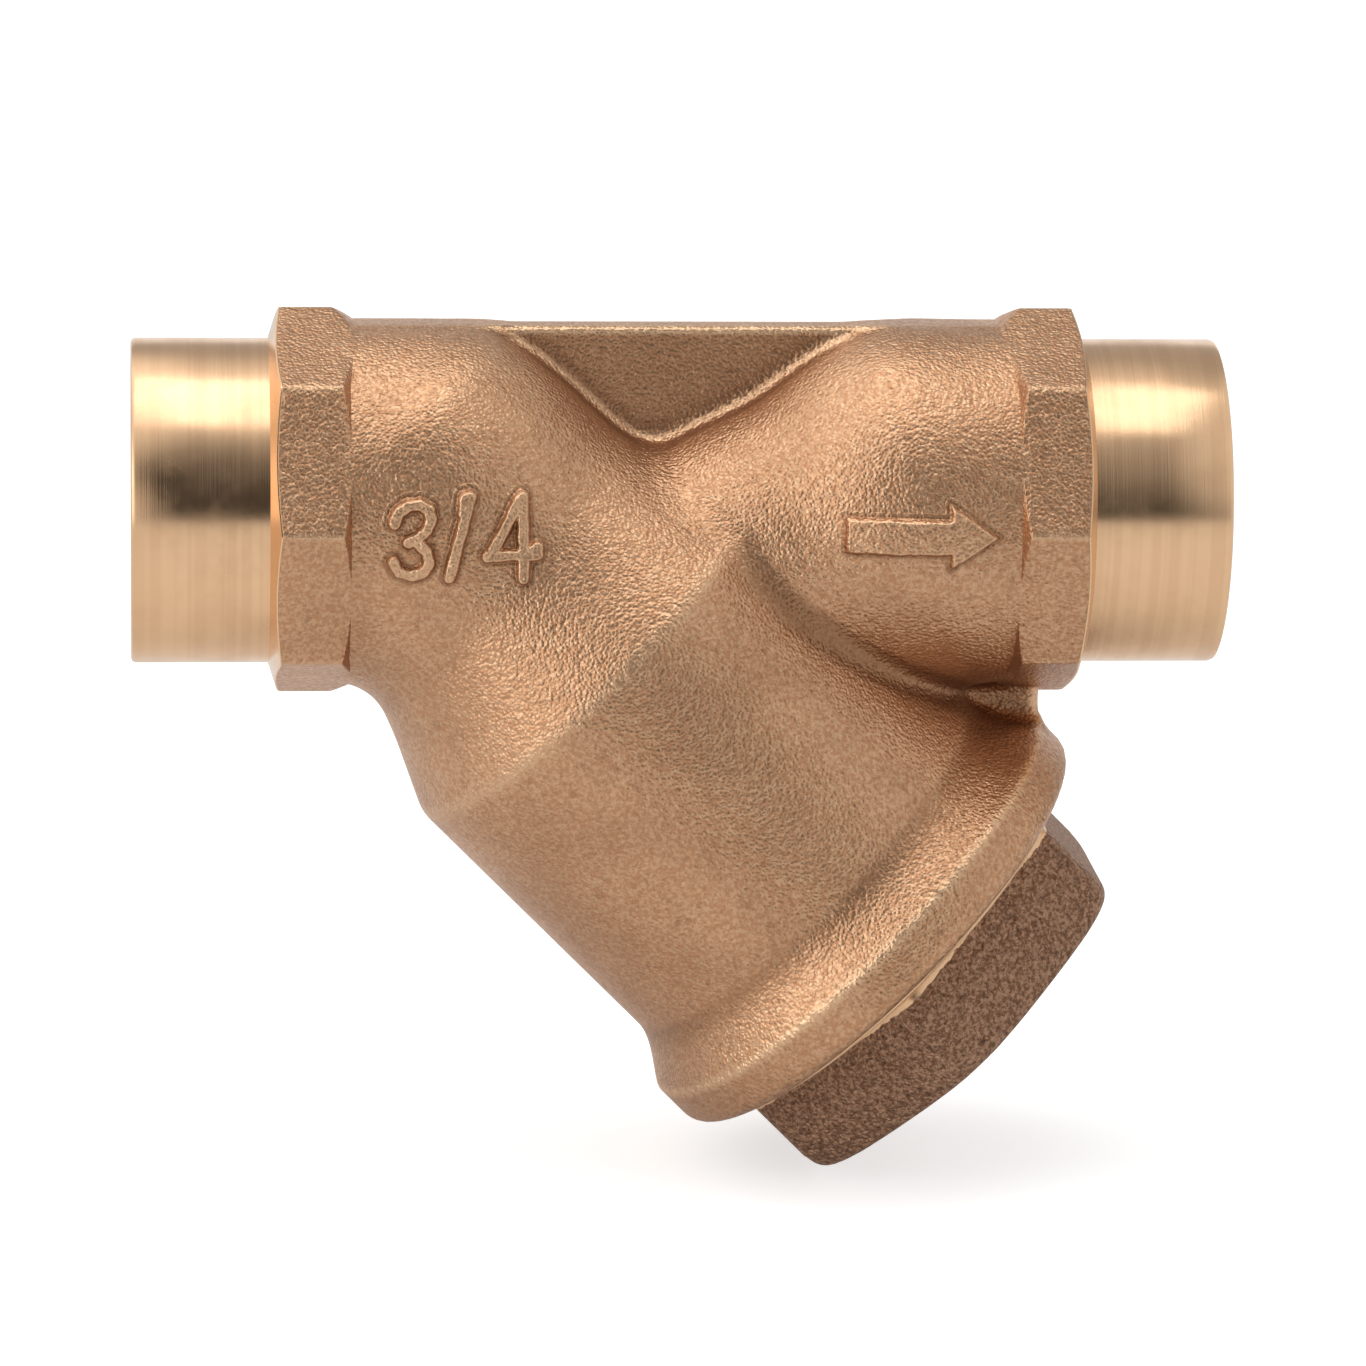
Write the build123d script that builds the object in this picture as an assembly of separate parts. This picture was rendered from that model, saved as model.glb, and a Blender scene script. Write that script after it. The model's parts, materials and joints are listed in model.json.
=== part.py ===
from build123d import *
import math
import os

# Y strainer for a 22 mm copper tube line: a cast bronze body with solder cups at both ends, and a
# branch that leaves the run at 45 degrees and holds a cylindrical screen behind a screwed hex cap.
# Millimetres. The origin is the centre of the inlet cup's mouth. +X is the way the water flows,
# +Z is up, and the branch leans down and forward in the plane y = 0.

# ---------------------------------------------------------------- driving dimensions
run_length = 90.5           # mouth to mouth
tube_radius = 11.11         # outside of the copper tube that the cups take
cup_clearance = 0.06        # radial room for solder
cup_depth = 19.0            # from the mouth to the tube stop
tail_wall = 2.33            # around each solder cup
tail_length = 11.35         # turned length, from the mouth to the octagon
waterway_radius = 10.0      # straight waterway behind the tube stops

collar_step = 2.85          # from the turned tail out to the octagon's corners
collar_sides = 8
collar_width = 4.3
collar_cone = 0.9           # length of the turned cone on the octagon's outer end
collar_slope = 2.4          # length of the cast slope from the octagon down to the run
run_radius = 15.2           # cast outside of the run

branch_angle = 45.0         # below the run
branch_x = 25.85            # where the branch axis crosses the run axis
elbow_back = 1.6            # the elbow's ball sits this far before the crossing
neck_start = -9.0           # distances along the branch axis, from the crossing
neck_taper = 3.1            # how much the neck widens on its way to the shoulder
neck_wall = 2.65            # around the screen's upper seat
shoulder_start = 8.6
chamber_start = 17.5
chamber_radius = 19.7
chamber_wall = 2.8
flange_rim = 1.8            # metal around the gasket's recess
flange_root = 43.4          # where the chamber starts to swell into the flange
flange_swell = 5.4          # length of that swell
flange_front_round = 1.6    # rounding of the flange's front edge
flange_face = 52.9          # machined end of the branch

outlet_low_x = 47.25        # lower end of the rising outlet passage
outlet_low_z = -6.3
outlet_low_radius = 12.0
outlet_high_x = 65.25       # where the outlet passage becomes level
outlet_high_z = -0.8
outlet_high_radius = 14.9
outlet_wall = 3.0
outlet_low_wall = 2.5       # thinner where the passage leaves the chamber
outlet_bore_start = 0.22    # share of the rising passage before its bore starts

web_thickness = 3.0         # flat web between the two arms
web_top = 14.95             # top of the web, just under the top of the run
rib_thickness = 3.4         # short rib between the outlet octagon and the flange
rib_reach = 2.2             # how far the rib runs on past the octagon's inner edge
rib_depth = 4.0             # how far it reaches below the octagon

thread_radius = 17.5        # mean radius of the cap's thread
thread_clearance = 0.2
thread_length = 10.0
thread_lead_in = 0.8
thread_pitch = 1.5

gasket_thickness = 1.0
gasket_recess = 1.5         # depth of the recess in the flange face
gasket_width = 2.0
gasket_inner_room = 0.7     # from the thread to the gasket
gasket_edge_room = 0.4      # from the gasket to the recess wall
recess_clearance = 0.3      # between the recess wall and the cap's collar

hex_across_flats = 34.0
hex_height = 9.4
hex_end_height = 2.8        # turned rounding of the outer end: its height and width
hex_end_width = 3.78
hex_end_knee_in = 1.26      # where the rounding bends, in from the corners and below the end
hex_end_knee_down = 0.98
collar_height = 1.0         # round collar under the hex
cap_floor = 4.5
pocket_depth = 4.8          # pocket in the cap for the screen's lower end
spigot_wall = 2.9           # between the cap's thread and its hollow

screen_radius = 12.2        # outside of the wire cloth
wire_diameter = 0.4
band_thickness = 0.4
band_height = 4.0
seam_width = 5.0
seam_thickness = 0.3
seat_clearance = 0.25       # between the screen's bands and their seats
seat_start = 5.0            # ledge in the body that stops the screen
seat_depth = 5.8
ledge_lap = 0.8             # how far the ledge reaches in past the wire cloth

mark_height = 0.55          # raised cast marks
mark_stroke = 1.15
size_mark_x = 27.95         # centre of the size mark
size_mark_height = 6.6
three_offset = 4.3          # from that centre to the middles of the 3 and the 4
four_offset = 2.6
three_arm = 1.4             # flat ends of the 3
three_waist = 0.9
slash_left = 1.1
slash_right = 0.9
four_stem = 1.6
four_left = 0.8
four_right = 3.0
arrow_x = 66.1              # centre of the flow arrow
arrow_length = 13.0
arrow_shaft = 2.325
arrow_rim = 0.69            # stroke of the arrow's outline
arrow_head_length = 4.2
arrow_head_height = 5.4

# ---------------------------------------------------------------- values that follow
cup_radius = tube_radius + cup_clearance
tail_radius = cup_radius + tail_wall
collar_radius = tail_radius + collar_step
collar_end = tail_length + collar_cone + collar_width
angle = math.radians(branch_angle)
branch = Plane(
    origin=(branch_x, 0, 0),
    x_dir=(math.sin(angle), 0, math.cos(angle)),
    z_dir=(math.cos(angle), 0, -math.sin(angle)),
)
run_start = Plane(origin=(0, 0, 0), x_dir=(0, 1, 0), z_dir=(1, 0, 0))
run_end = Plane(origin=(run_length, 0, 0), x_dir=(0, 1, 0), z_dir=(-1, 0, 0))

chamber_bore = chamber_radius - chamber_wall
thread_bore = thread_radius + thread_clearance
recess_floor = flange_face - gasket_recess
cap_seat = recess_floor + gasket_thickness
head_start = cap_seat + collar_height
head_end = head_start + hex_height
screen_end = head_end - cap_floor
band_radius = screen_radius + band_thickness
seat_radius = band_radius + seat_clearance
shoulder_radius = seat_radius + neck_wall
neck_radius = shoulder_radius - neck_taper
gasket_inner = thread_radius + gasket_inner_room
gasket_outer = gasket_inner + gasket_width
recess_radius = gasket_outer + gasket_edge_room
flange_radius = recess_radius + flange_rim
cap_collar_radius = recess_radius - recess_clearance
cap_cavity_radius = thread_radius - spigot_wall
cloth_thickness = 2 * wire_diameter
ledge_radius = screen_radius - cloth_thickness - ledge_lap
mark_reach = collar_radius + 2
seam_turn = 25.0            # turned surfaces start away from the plane y = 0, where they meet others


# ---------------------------------------------------------------- shared shapes
def turned(corners):
    """Solid turned about Z from (radius, height) corners."""
    outline = Polyline([(radius, 0, height) for radius, height in corners], close=True)
    return Rot(0, 0, seam_turn) * revolve(make_face(outline), Axis.Z)


def ring(inner, outer, start, end):
    """Plain ring about Z."""
    return turned([(inner, start), (outer, start), (outer, end), (inner, end)])


def domed_bar(start, end, start_radius, end_radius):
    """Round bar from one point to another in the plane y = 0, with a flat start and a domed end."""
    rise = Vector(*end) - Vector(*start)
    base = Plane(origin=start, x_dir=(0, 1, 0), z_dir=rise)
    length = rise.length
    side = Polyline((0, 0, 0), (start_radius, 0, 0), (end_radius, 0, length))
    middle = math.sqrt(0.5) * end_radius
    dome = ThreePointArc(side @ 1, (middle, 0, length + middle), (0, 0, length + end_radius))
    profile = make_face(side + dome + Line(dome @ 1, side @ 0))
    return base * Rot(0, 0, 5 * seam_turn) * revolve(profile, Axis.Z)


# ---------------------------------------------------------------- body: outside
def end_of_run(reach):
    """Solder tail, octagon and a length of round run, along Z from the mouth."""
    tail = Cylinder(tail_radius, tail_length, align=(Align.CENTER, Align.CENTER, Align.MIN))
    prism = extrude(RegularPolygon(collar_radius, collar_sides), reach)
    envelope = turned([
        (0, 0),
        (tail_radius, 0),
        (tail_radius, tail_length),
        (collar_radius, tail_length + collar_cone),
        (collar_radius, collar_end),
        (run_radius, collar_end + collar_slope),
        (0, collar_end + collar_slope),
    ])
    round_run = ring(0, run_radius, collar_end, reach)
    return tail + (prism & envelope) + round_run


def inlet_arm(growth):
    """Pieces of the inlet arm: level run with a domed end, and the neck that widens into the chamber."""
    radius = run_radius + growth
    level = domed_bar((collar_end, 0, 0), (branch_x - elbow_back, 0, 0), radius, radius)
    neck = branch * turned([
        (0, neck_start),
        (neck_radius + growth, neck_start),
        (shoulder_radius + growth, shoulder_start),
        (chamber_radius + growth, chamber_start),
        (0, chamber_start),
    ])
    return [level, neck]


def outlet_arm(growth):
    """Pieces of the outlet arm: rising passage with a domed end, and the level run that follows."""
    low = (outlet_low_x, 0, outlet_low_z)
    high = (outlet_high_x, 0, outlet_high_z)
    rising = domed_bar(low, high, outlet_low_radius + growth, outlet_high_radius + growth)
    level = run_end * ring(0, run_radius + growth, collar_end, run_length - outlet_high_x)
    return [rising, level]


def chamber_and_flange():
    """Round chamber along the branch, swelling into the rounded flange."""
    middle = (0, 0, chamber_start)
    root = Polyline(middle, (chamber_radius, 0, chamber_start), (chamber_radius, 0, flange_root))
    crest = (flange_radius, 0, flange_root + flange_swell)
    swell = Spline(root @ 1, crest, tangents=[(0, 0, 1), (0, 0, 1)])
    front = Line(swell @ 1, (flange_radius, 0, flange_face - flange_front_round))
    corner = TangentArc(front @ 1, (flange_radius - flange_front_round, 0, flange_face), tangent=(0, 0, 1))
    back = Polyline(corner @ 1, (0, 0, flange_face), middle)
    profile = make_face(root + swell + front + corner + back)
    return branch * Rot(0, 0, seam_turn) * revolve(profile, Axis.Z)


def web():
    """Flat web that fills the notch between the arms."""
    left = collar_end + collar_slope / 2
    right = run_length - left
    return Pos((left + right) / 2, 0, web_top / 2) * Box(right - left, web_thickness, web_top)


def rib():
    """Short rib from the outlet octagon down to the flange."""
    left = outlet_high_x - rib_depth
    right = run_length - collar_end + rib_reach
    top = -waterway_radius - outlet_wall
    bottom = -collar_radius - rib_depth
    centre = Pos((left + right) / 2, 0, (top + bottom) / 2)
    return centre * Box(right - left, rib_thickness, top - bottom)


# ---------------------------------------------------------------- body: raised marks
def strokes(*lines):
    """Even strokes along lines, raised from the front of the body along -Y."""
    flat = Sketch() + [trace(line, mark_stroke) for line in lines]
    upright = Plane(origin=(0, 0, 0), x_dir=(1, 0, 0), z_dir=(0, -1, 0))
    return upright * extrude(flat, mark_reach)


def size_mark():
    """The size 3/4 in plain numerals."""
    half = size_mark_height / 2 - mark_stroke / 2
    bowl = half / 2
    left = size_mark_x - three_offset
    right = size_mark_x + four_offset
    three = [
        Polyline((left - three_arm, half), (left, half)),
        ThreePointArc((left, half), (left + bowl, bowl), (left, 0)),
        Polyline((left - three_waist, 0), (left, 0)),
        ThreePointArc((left, 0), (left + bowl, -bowl), (left, -half)),
        Polyline((left, -half), (left - three_arm, -half)),
    ]
    slash = [Polyline((size_mark_x - slash_left, -half), (size_mark_x + slash_right, half))]
    stem = right + four_stem
    corner = right - four_left
    four = [
        Polyline((stem, -half), (stem, half), (corner, -bowl / 2)),
        Polyline((corner, -bowl / 2), (right + four_right, -bowl / 2)),
    ]
    return strokes(*three, *slash, *four)


def flow_arrow():
    """Outline of an arrow that points along the flow."""
    tail = arrow_x - arrow_length / 2
    tip = arrow_x + arrow_length / 2
    neck = tip - arrow_head_length
    shaft = arrow_shaft / 2
    head = arrow_head_height / 2
    outline = Polyline(
        (tail, -shaft), (neck, -shaft), (neck, -head), (tip, 0),
        (neck, head), (neck, shaft), (tail, shaft), close=True,
    )
    flat = make_face(outline) - offset(make_face(outline), -arrow_rim)
    upright = Plane(origin=(0, 0, 0), x_dir=(1, 0, 0), z_dir=(0, -1, 0))
    return upright * extrude(flat, mark_reach)


# ---------------------------------------------------------------- body: inside
def waterway():
    """Inlet waterway, elbow, and the turned inside of the branch with its screen seat and mouth."""
    straight = domed_bar((0, 0, 0), (branch_x, 0, 0), waterway_radius, waterway_radius)
    seat_end = seat_start + seat_depth
    flare_radius = (seat_radius + chamber_bore) / 2
    flare_end = (seat_end + chamber_start) / 2
    inside = branch * turned([
        (0, 0),
        (ledge_radius, 0),
        (ledge_radius, seat_start),
        (seat_radius, seat_start),
        (seat_radius, seat_end),
        (flare_radius, flare_end),
        (chamber_bore, chamber_start),
        (chamber_bore, recess_floor - thread_length),
        (thread_bore, recess_floor - thread_length),
        (thread_bore, recess_floor - gasket_inner_room / 2),
        (gasket_inner, recess_floor),
        (recess_radius, recess_floor),
        (recess_radius, flange_face + 1),
        (0, flange_face + 1),
    ])
    return [straight, inside]


def outlet_waterway():
    """Passage that rises from the chamber to the outlet cup."""
    start_x = outlet_low_x + outlet_bore_start * (outlet_high_x - outlet_low_x)
    start_z = outlet_low_z + outlet_bore_start * (outlet_high_z - outlet_low_z)
    high = (outlet_high_x, 0, outlet_high_z)
    low_bore = outlet_low_radius - outlet_low_wall
    rising = domed_bar((start_x, 0, start_z), high, low_bore, waterway_radius)
    level = run_end * ring(0, waterway_radius, 0, run_length - outlet_high_x)
    return [rising, level]


def cup():
    """Solder cup, along Z from the mouth."""
    return ring(0, cup_radius, 0, cup_depth)


def raised(mark, arm):
    """The mark, cut to stand its height above the arm's surface."""
    return Part() + [mark & piece for piece in arm]


def make_body():
    metal = Part() + inlet_arm(0)
    for piece in [*outlet_arm(0), chamber_and_flange(), web(), rib()]:
        metal += piece
    metal += run_start * end_of_run(branch_x - elbow_back)
    metal += run_end * end_of_run(run_length - outlet_high_x)
    metal += raised(size_mark(), inlet_arm(mark_height))
    metal += raised(flow_arrow(), outlet_arm(mark_height))
    for space in [*waterway(), *outlet_waterway(), run_start * cup(), run_end * cup()]:
        metal -= space
    return metal


# ---------------------------------------------------------------- cap, gasket and screen
def make_cap():
    """Hex head, round collar and threaded spigot, hollow for the screen's lower end."""
    corner_radius = hex_across_flats / 2 / math.cos(math.pi / 6)
    prism = Pos(0, 0, head_start) * extrude(Rot(0, 0, 90) * RegularPolygon(corner_radius, 6), hex_height)
    rounding = turned([
        (0, head_start),
        (corner_radius, head_start),
        (corner_radius, head_end - hex_end_height),
        (corner_radius - hex_end_knee_in, head_end - hex_end_knee_down),
        (corner_radius - hex_end_width, head_end),
        (0, head_end),
    ])
    collar = ring(0, cap_collar_radius, cap_seat, head_start)
    spigot_end = cap_seat - thread_length
    spigot = turned([
        (0, spigot_end),
        (thread_radius - thread_lead_in, spigot_end),
        (thread_radius, spigot_end + thread_lead_in),
        (thread_radius, cap_seat),
        (0, cap_seat),
    ])
    pocket_mouth = screen_end - pocket_depth
    cone_height = cap_cavity_radius - seat_radius
    hollow = turned([
        (0, spigot_end),
        (cap_cavity_radius, spigot_end),
        (cap_cavity_radius, pocket_mouth - cone_height),
        (seat_radius, pocket_mouth),
        (seat_radius, screen_end),
        (0, screen_end),
    ])
    return branch * ((prism & rounding) + collar + spigot - hollow)


def make_gasket():
    return branch * ring(gasket_inner, gasket_outer, recess_floor, cap_seat)


def make_cloth():
    """Rolled wire cloth, as a plain sleeve."""
    return branch * ring(screen_radius - cloth_thickness, screen_radius, seat_start, screen_end)


def make_band(start):
    return branch * ring(screen_radius, band_radius, start, start + band_height)


def make_seam():
    """Lap strip that closes the rolled cloth, on the side away from the outlet."""
    start = seat_start + band_height
    end = screen_end - band_height
    half = math.degrees(seam_width / 2 / screen_radius)
    strip = ring(screen_radius, screen_radius + seam_thickness, start, end)
    wedge = Pos(0, 0, start) * extrude(
        make_face(Polyline(
            (0, 0),
            (-2 * screen_radius, -2 * screen_radius * math.tan(math.radians(half))),
            (-2 * screen_radius, 2 * screen_radius * math.tan(math.radians(half))),
            close=True,
        )),
        end - start,
    )
    return branch * (strip & wedge)


nodes = {
    "body": make_body(),
    "retainer_cap": make_cap(),
    "cap_gasket": make_gasket(),
    "screen_cloth": make_cloth(),
    "screen_top_band": make_band(seat_start),
    "screen_bottom_band": make_band(screen_end - band_height),
    "screen_seam": make_seam(),
}

os.makedirs("parts", exist_ok=True)
for name, shape in nodes.items():
    export_step(shape, os.path.join("parts", name + ".step"))
    print(name, "volume", round(shape.volume, 2))
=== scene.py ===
"""Looks of a bronze Y strainer: cast body, screwed hex cap, gasket and wire screen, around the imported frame."""

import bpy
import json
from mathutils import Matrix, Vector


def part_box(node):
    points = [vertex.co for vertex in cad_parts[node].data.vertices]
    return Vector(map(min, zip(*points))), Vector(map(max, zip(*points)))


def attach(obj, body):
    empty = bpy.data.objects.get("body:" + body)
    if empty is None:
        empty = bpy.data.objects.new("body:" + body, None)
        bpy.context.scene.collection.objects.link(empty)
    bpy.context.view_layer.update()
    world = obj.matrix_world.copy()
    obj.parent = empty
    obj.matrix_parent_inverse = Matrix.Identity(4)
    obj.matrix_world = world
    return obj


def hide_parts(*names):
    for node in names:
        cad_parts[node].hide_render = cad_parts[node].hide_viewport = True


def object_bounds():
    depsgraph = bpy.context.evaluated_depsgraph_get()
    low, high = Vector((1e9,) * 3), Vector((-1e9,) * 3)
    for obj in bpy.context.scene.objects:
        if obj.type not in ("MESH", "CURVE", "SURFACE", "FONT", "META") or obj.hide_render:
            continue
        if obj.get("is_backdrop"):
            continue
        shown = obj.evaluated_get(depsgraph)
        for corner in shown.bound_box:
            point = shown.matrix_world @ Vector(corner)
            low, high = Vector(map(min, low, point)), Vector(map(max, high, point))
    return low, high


bl_info = {
    "name": "Y strainer",
    "version": (1, 0, 0),
    "blender": (4, 5, 0),
    "location": "3D view > Sidebar > Strainer",
    "description": "Cast bronze Y strainer with turned solder tails, a screwed hex cap and a wire screen",
    "category": "Object",
}

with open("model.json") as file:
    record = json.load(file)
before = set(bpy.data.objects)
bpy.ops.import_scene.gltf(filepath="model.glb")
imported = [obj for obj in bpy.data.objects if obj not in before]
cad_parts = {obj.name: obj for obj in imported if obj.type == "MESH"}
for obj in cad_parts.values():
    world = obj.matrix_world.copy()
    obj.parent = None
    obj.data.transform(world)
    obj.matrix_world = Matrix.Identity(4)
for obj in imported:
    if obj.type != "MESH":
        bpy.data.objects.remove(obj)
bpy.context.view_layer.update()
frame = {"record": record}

import itertools
import json
import math
from types import SimpleNamespace

import bpy
import numpy as np
from bpy.props import FloatProperty, FloatVectorProperty, PointerProperty
from mathutils import Matrix, Vector

# ---------------------------------------------------------------- fixed places, from the frame, in millimetres
MM = 0.001
RECORD = frame["record"]
MOUNTS = {mount["name"]: mount for mount in RECORD["mounts"]}
JOINTS = {joint["name"]: joint for joint in RECORD["behaviour"]["joints"]}
RUN_LENGTH = MOUNTS["outlet_socket"]["pos_m"][0] / MM
CUP_RADIUS = MOUNTS["inlet_socket"]["dims"]["r_mm"]
CUP_DEPTH = MOUNTS["inlet_socket"]["dims"]["length_mm"]
AXIS = np.array(JOINTS["cap_unscrew"]["axis"])
ACROSS = np.array([-AXIS[2], 0.0, AXIS[0]])
FRONT = np.array([0.0, -1.0, 0.0])
CAP_SEAT = JOINTS["cap_unscrew"]["pos_m"][2] / MM / AXIS[2]
CROSSING = np.array(JOINTS["cap_unscrew"]["pos_m"]) / MM - AXIS * CAP_SEAT
PITCH = RECORD["behaviour"]["couplings"][0]["ratio"] * 2 * math.pi / MM
SCREEN_LOW, SCREEN_HIGH = (np.array(corner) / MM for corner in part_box("screen_cloth"))
SCREEN_RADIUS = (SCREEN_HIGH[1] - SCREEN_LOW[1]) / 2

# Sizes that several pieces share, in millimetres.
SCREEN_START = 5.0
BAND_WIDTH = 4.0
GASKET_THICKNESS = 1.0
COLLAR_THICKNESS = 1.0
HEAD_THICKNESS = 4.5
THREAD_DEPTH = 0.42
THREAD_PLAY = 0.2


# ---------------------------------------------------------------- properties
def length(name, default, description):
    """Length property, stored in metres, whose default is given in millimetres."""
    return FloatProperty(
        name=name, description=description, default=default * MM, min=0.0, precision=5, unit="LENGTH")


def colour(name, default, description):
    """Colour property, as a share of red, green and blue."""
    return FloatVectorProperty(
        name=name, description=description, default=default, size=3, min=0.0, max=1.0, subtype="COLOR")


class StrainerSizes(bpy.types.PropertyGroup):
    """Sizes of the strainer's visible surfaces."""

    tail_radius: length("Tail radius", 13.5, "Turned outside of the solder tails")
    tail_length: length("Tail length", 11.35, "From the mouth to the octagon")
    waterway_radius: length("Waterway radius", 10.0, "Straight waterway behind the tube stops")
    collar_radius: length("Octagon radius", 16.33, "From the axis to the octagon's rounded corners")
    collar_width: length("Octagon width", 4.3, "Length of the octagon's flats")
    collar_cone: length("Octagon cone", 0.9, "Length of the turned cone on the octagon's outer end")
    collar_slope: length("Octagon slope", 2.0, "Cast slope from the octagon down to the run")
    run_radius: length("Run radius", 15.1, "Cast outside of the run")
    chamber_radius: length("Chamber radius", 19.7, "Cast outside of the branch")
    chamber_start: length("Chamber start", 17.5, "From the crossing of the axes to the shoulder")
    flange_root: length("Flange root", 43.4, "Where the chamber starts to swell into the flange")
    flange_radius: length("Flange radius", 22.4, "Outside of the flange at the branch mouth")
    flange_face: length("Flange face", 52.9, "From the crossing of the axes to the machined end")
    web_thickness: length("Web thickness", 3.0, "Flat web between the arms")
    web_top: length("Web top", 14.95, "Height of the web above the axis of the run")
    thread_radius: length("Thread radius", 17.5, "Mean radius of the cap's thread")
    thread_length: length("Thread length", 10.0, "Length of the thread in the branch mouth")
    hex_flats: length("Hex across flats", 34.0, "Width of the cap's hexagon")
    hex_height: length("Hex height", 9.4, "Length of the cap's hexagon")
    wire: length("Wire", 0.4, "Diameter of the screen's wires")
    wire_spacing: length("Wire spacing", 1.27, "Distance from one wire to the next")
    mark_height: length("Mark height", 0.68, "How far the cast marks stand out")
    mesh_step: length("Casting mesh step", 0.56, "Size of one face of the casting's mesh")


class StrainerFinish(bpy.types.PropertyGroup):
    """Colours and grain of the strainer's finishes."""

    cast: colour("Cast bronze", (0.53, 0.28, 0.15), "Blasted skin of the body casting")
    # Worn colour: random light grain, worn edges, and the painted highlight on crests and along the web's fillet.
    cast_light: colour("Cast bronze, worn", (0.78, 0.52, 0.32), "Edges that tumbling has brightened")
    # Dark colour: pits and stains, and the painted shade in hollows, creases and over the web.
    cast_dark_and_shade: colour("Cast bronze, hollows", (0.26, 0.125, 0.062), "Hollows and pits of the casting")
    turned: colour("Turned bronze", (0.84, 0.55, 0.325), "Machined tails, faces and threads")
    cap: colour("Cap casting", (0.22, 0.11, 0.06), "Dark coarse skin of the cap")
    cap_light: colour("Cap casting, worn", (0.66, 0.40, 0.26), "Crests of the cap's coarse skin")
    gasket: colour("Gasket", (0.80, 0.79, 0.74), "White gasket")
    steel: colour("Screen steel", (0.56, 0.55, 0.53), "Stainless wire and strip")
    floor: colour("Floor", (0.66, 0.66, 0.66), "Pale studio floor")
    grain: length("Grain", 0.30, "Size of the casting's grain")
    cap_grain: length("Cap grain", 0.30, "Size of the grain on the cap")


def in_millimetres(group):
    """All the lengths of a property group, in millimetres."""
    return SimpleNamespace(**{key: getattr(group, key) / MM for key in group.__annotations__})


def sizes():
    """The strainer's sizes in millimetres."""
    return in_millimetres(bpy.context.scene.strainer_sizes)


def finish():
    """The strainer's colours and grain."""
    return bpy.context.scene.strainer_finish


# ---------------------------------------------------------------- meshes from arrays
def make_object(name, vertices, quads, material, sharp=0.6):
    """Mesh object from vertices in millimetres and an array of quads that face outwards."""
    mesh = bpy.data.meshes.new(name)
    mesh.vertices.add(len(vertices))
    mesh.vertices.foreach_set("co", (np.asarray(vertices) * MM).astype(np.float32).ravel())
    mesh.loops.add(quads.size)
    mesh.loops.foreach_set("vertex_index", quads.astype(np.int32).ravel())
    mesh.polygons.add(len(quads))
    mesh.polygons.foreach_set("loop_start", np.arange(0, quads.size, 4, dtype=np.int32))
    mesh.polygons.foreach_set("use_smooth", np.ones(len(quads), bool))
    mesh.update(calc_edges=True)
    mesh.validate()
    if volume_of(mesh) < 0:
        mesh.flip_normals()
    if sharp:
        mesh.set_sharp_from_angle(angle=sharp)
    mesh.materials.append(material)
    piece = bpy.data.objects.new(name, mesh)
    bpy.context.scene.collection.objects.link(piece)
    return piece


def volume_of(mesh):
    """Six times the signed volume inside a closed mesh: the sum of its triangles' triple products."""
    mesh.calc_loop_triangles()
    corners = np.empty(len(mesh.loop_triangles) * 3, np.int32)
    mesh.loop_triangles.foreach_get("vertices", corners)
    places = np.empty(len(mesh.vertices) * 3, np.float32)
    mesh.vertices.foreach_get("co", places)
    a, b, c = places.reshape(-1, 3)[corners.reshape(-1, 3)].astype(float).transpose(1, 0, 2)
    return np.einsum("ij,ij->i", a, np.cross(b, c)).sum()


def wrapped_quads(rows, columns, close_rows=True):
    """Quads of a grid of points whose columns wrap round, and whose rows wrap too where asked."""
    row = np.arange(rows if close_rows else rows - 1)[:, None]
    column = np.arange(columns)[None, :]
    after, beside = (row + 1) % rows, (column + 1) % columns
    ring = np.broadcast_arrays(
        row * columns + column, row * columns + beside, after * columns + beside, after * columns + column)
    return np.stack(ring, -1).reshape(-1, 4)


def sheet_quads(rows, columns):
    """Quads of a closed thin sheet: a grid, the same grid behind it turned over, and a wall round the
    rim."""
    count = rows * columns
    grid = np.arange(count).reshape(rows, columns)
    cell = np.stack([grid[:-1, :-1], grid[1:, :-1], grid[1:, 1:], grid[:-1, 1:]], -1).reshape(-1, 4)
    rim = np.concatenate([grid[:-1, 0], grid[-1, :-1], grid[:0:-1, -1], grid[0, :0:-1]])
    after = np.roll(rim, -1)
    wall = np.stack([rim, rim + count, after + count, after], -1)
    return np.concatenate([cell, cell[:, ::-1] + count, wall])


def even_rings(rings, sides):
    """Radius and distance along of each ring in a list, as rows of a grid with so many sides."""
    radius, along = np.array(rings, float).T[:, :, None]
    return np.repeat(radius, sides, 1), np.repeat(along, sides, 1)


def on_branch(radius, angle, along):
    """Points about the branch axis: out by the radius, turned by the angle from the upper side, and
    along."""
    radius, angle, along = (value[..., None] for value in np.broadcast_arrays(radius, angle, along))
    return CROSSING + radius * (np.cos(angle) * ACROSS + np.sin(angle) * FRONT) + along * AXIS


def on_inlet(radius, angle, along):
    """Points about the run's axis, measured in from the inlet mouth."""
    return np.stack(np.broadcast_arrays(along, radius * np.sin(angle), radius * np.cos(angle)), -1)


def on_outlet(radius, angle, along):
    """Points about the run's axis, measured in from the outlet mouth."""
    return on_inlet(radius, angle, RUN_LENGTH - along)


def turned(name, profile, place, material, sides=192, sharp=0.5):
    """Closed ring: a closed line of (radius, distance along) corners, carried round the axis."""
    radius, along = np.array(profile).T[:, :, None]
    angles = np.linspace(0, 2 * np.pi, sides, endpoint=False)[None, :]
    points = place(radius, angles, along)
    return make_object(name, points.reshape(-1, 3), wrapped_quads(len(profile), sides), material, sharp)


def ride(piece, body, slot, *nodes):
    """The piece moves with a body and stands for the nodes; the slot is not used."""
    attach(piece, body)
    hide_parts(*nodes)
    return piece


# ---------------------------------------------------------------- distances that shape the casting
def blend(a, b, width):
    """Smaller of two distances, rounded by a parabola where they differ by less than the width."""
    share = np.clip(0.5 + 0.5 * (b - a) / width, 0, 1)
    return b + (a - b) * share - width * share * (1 - share)


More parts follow.
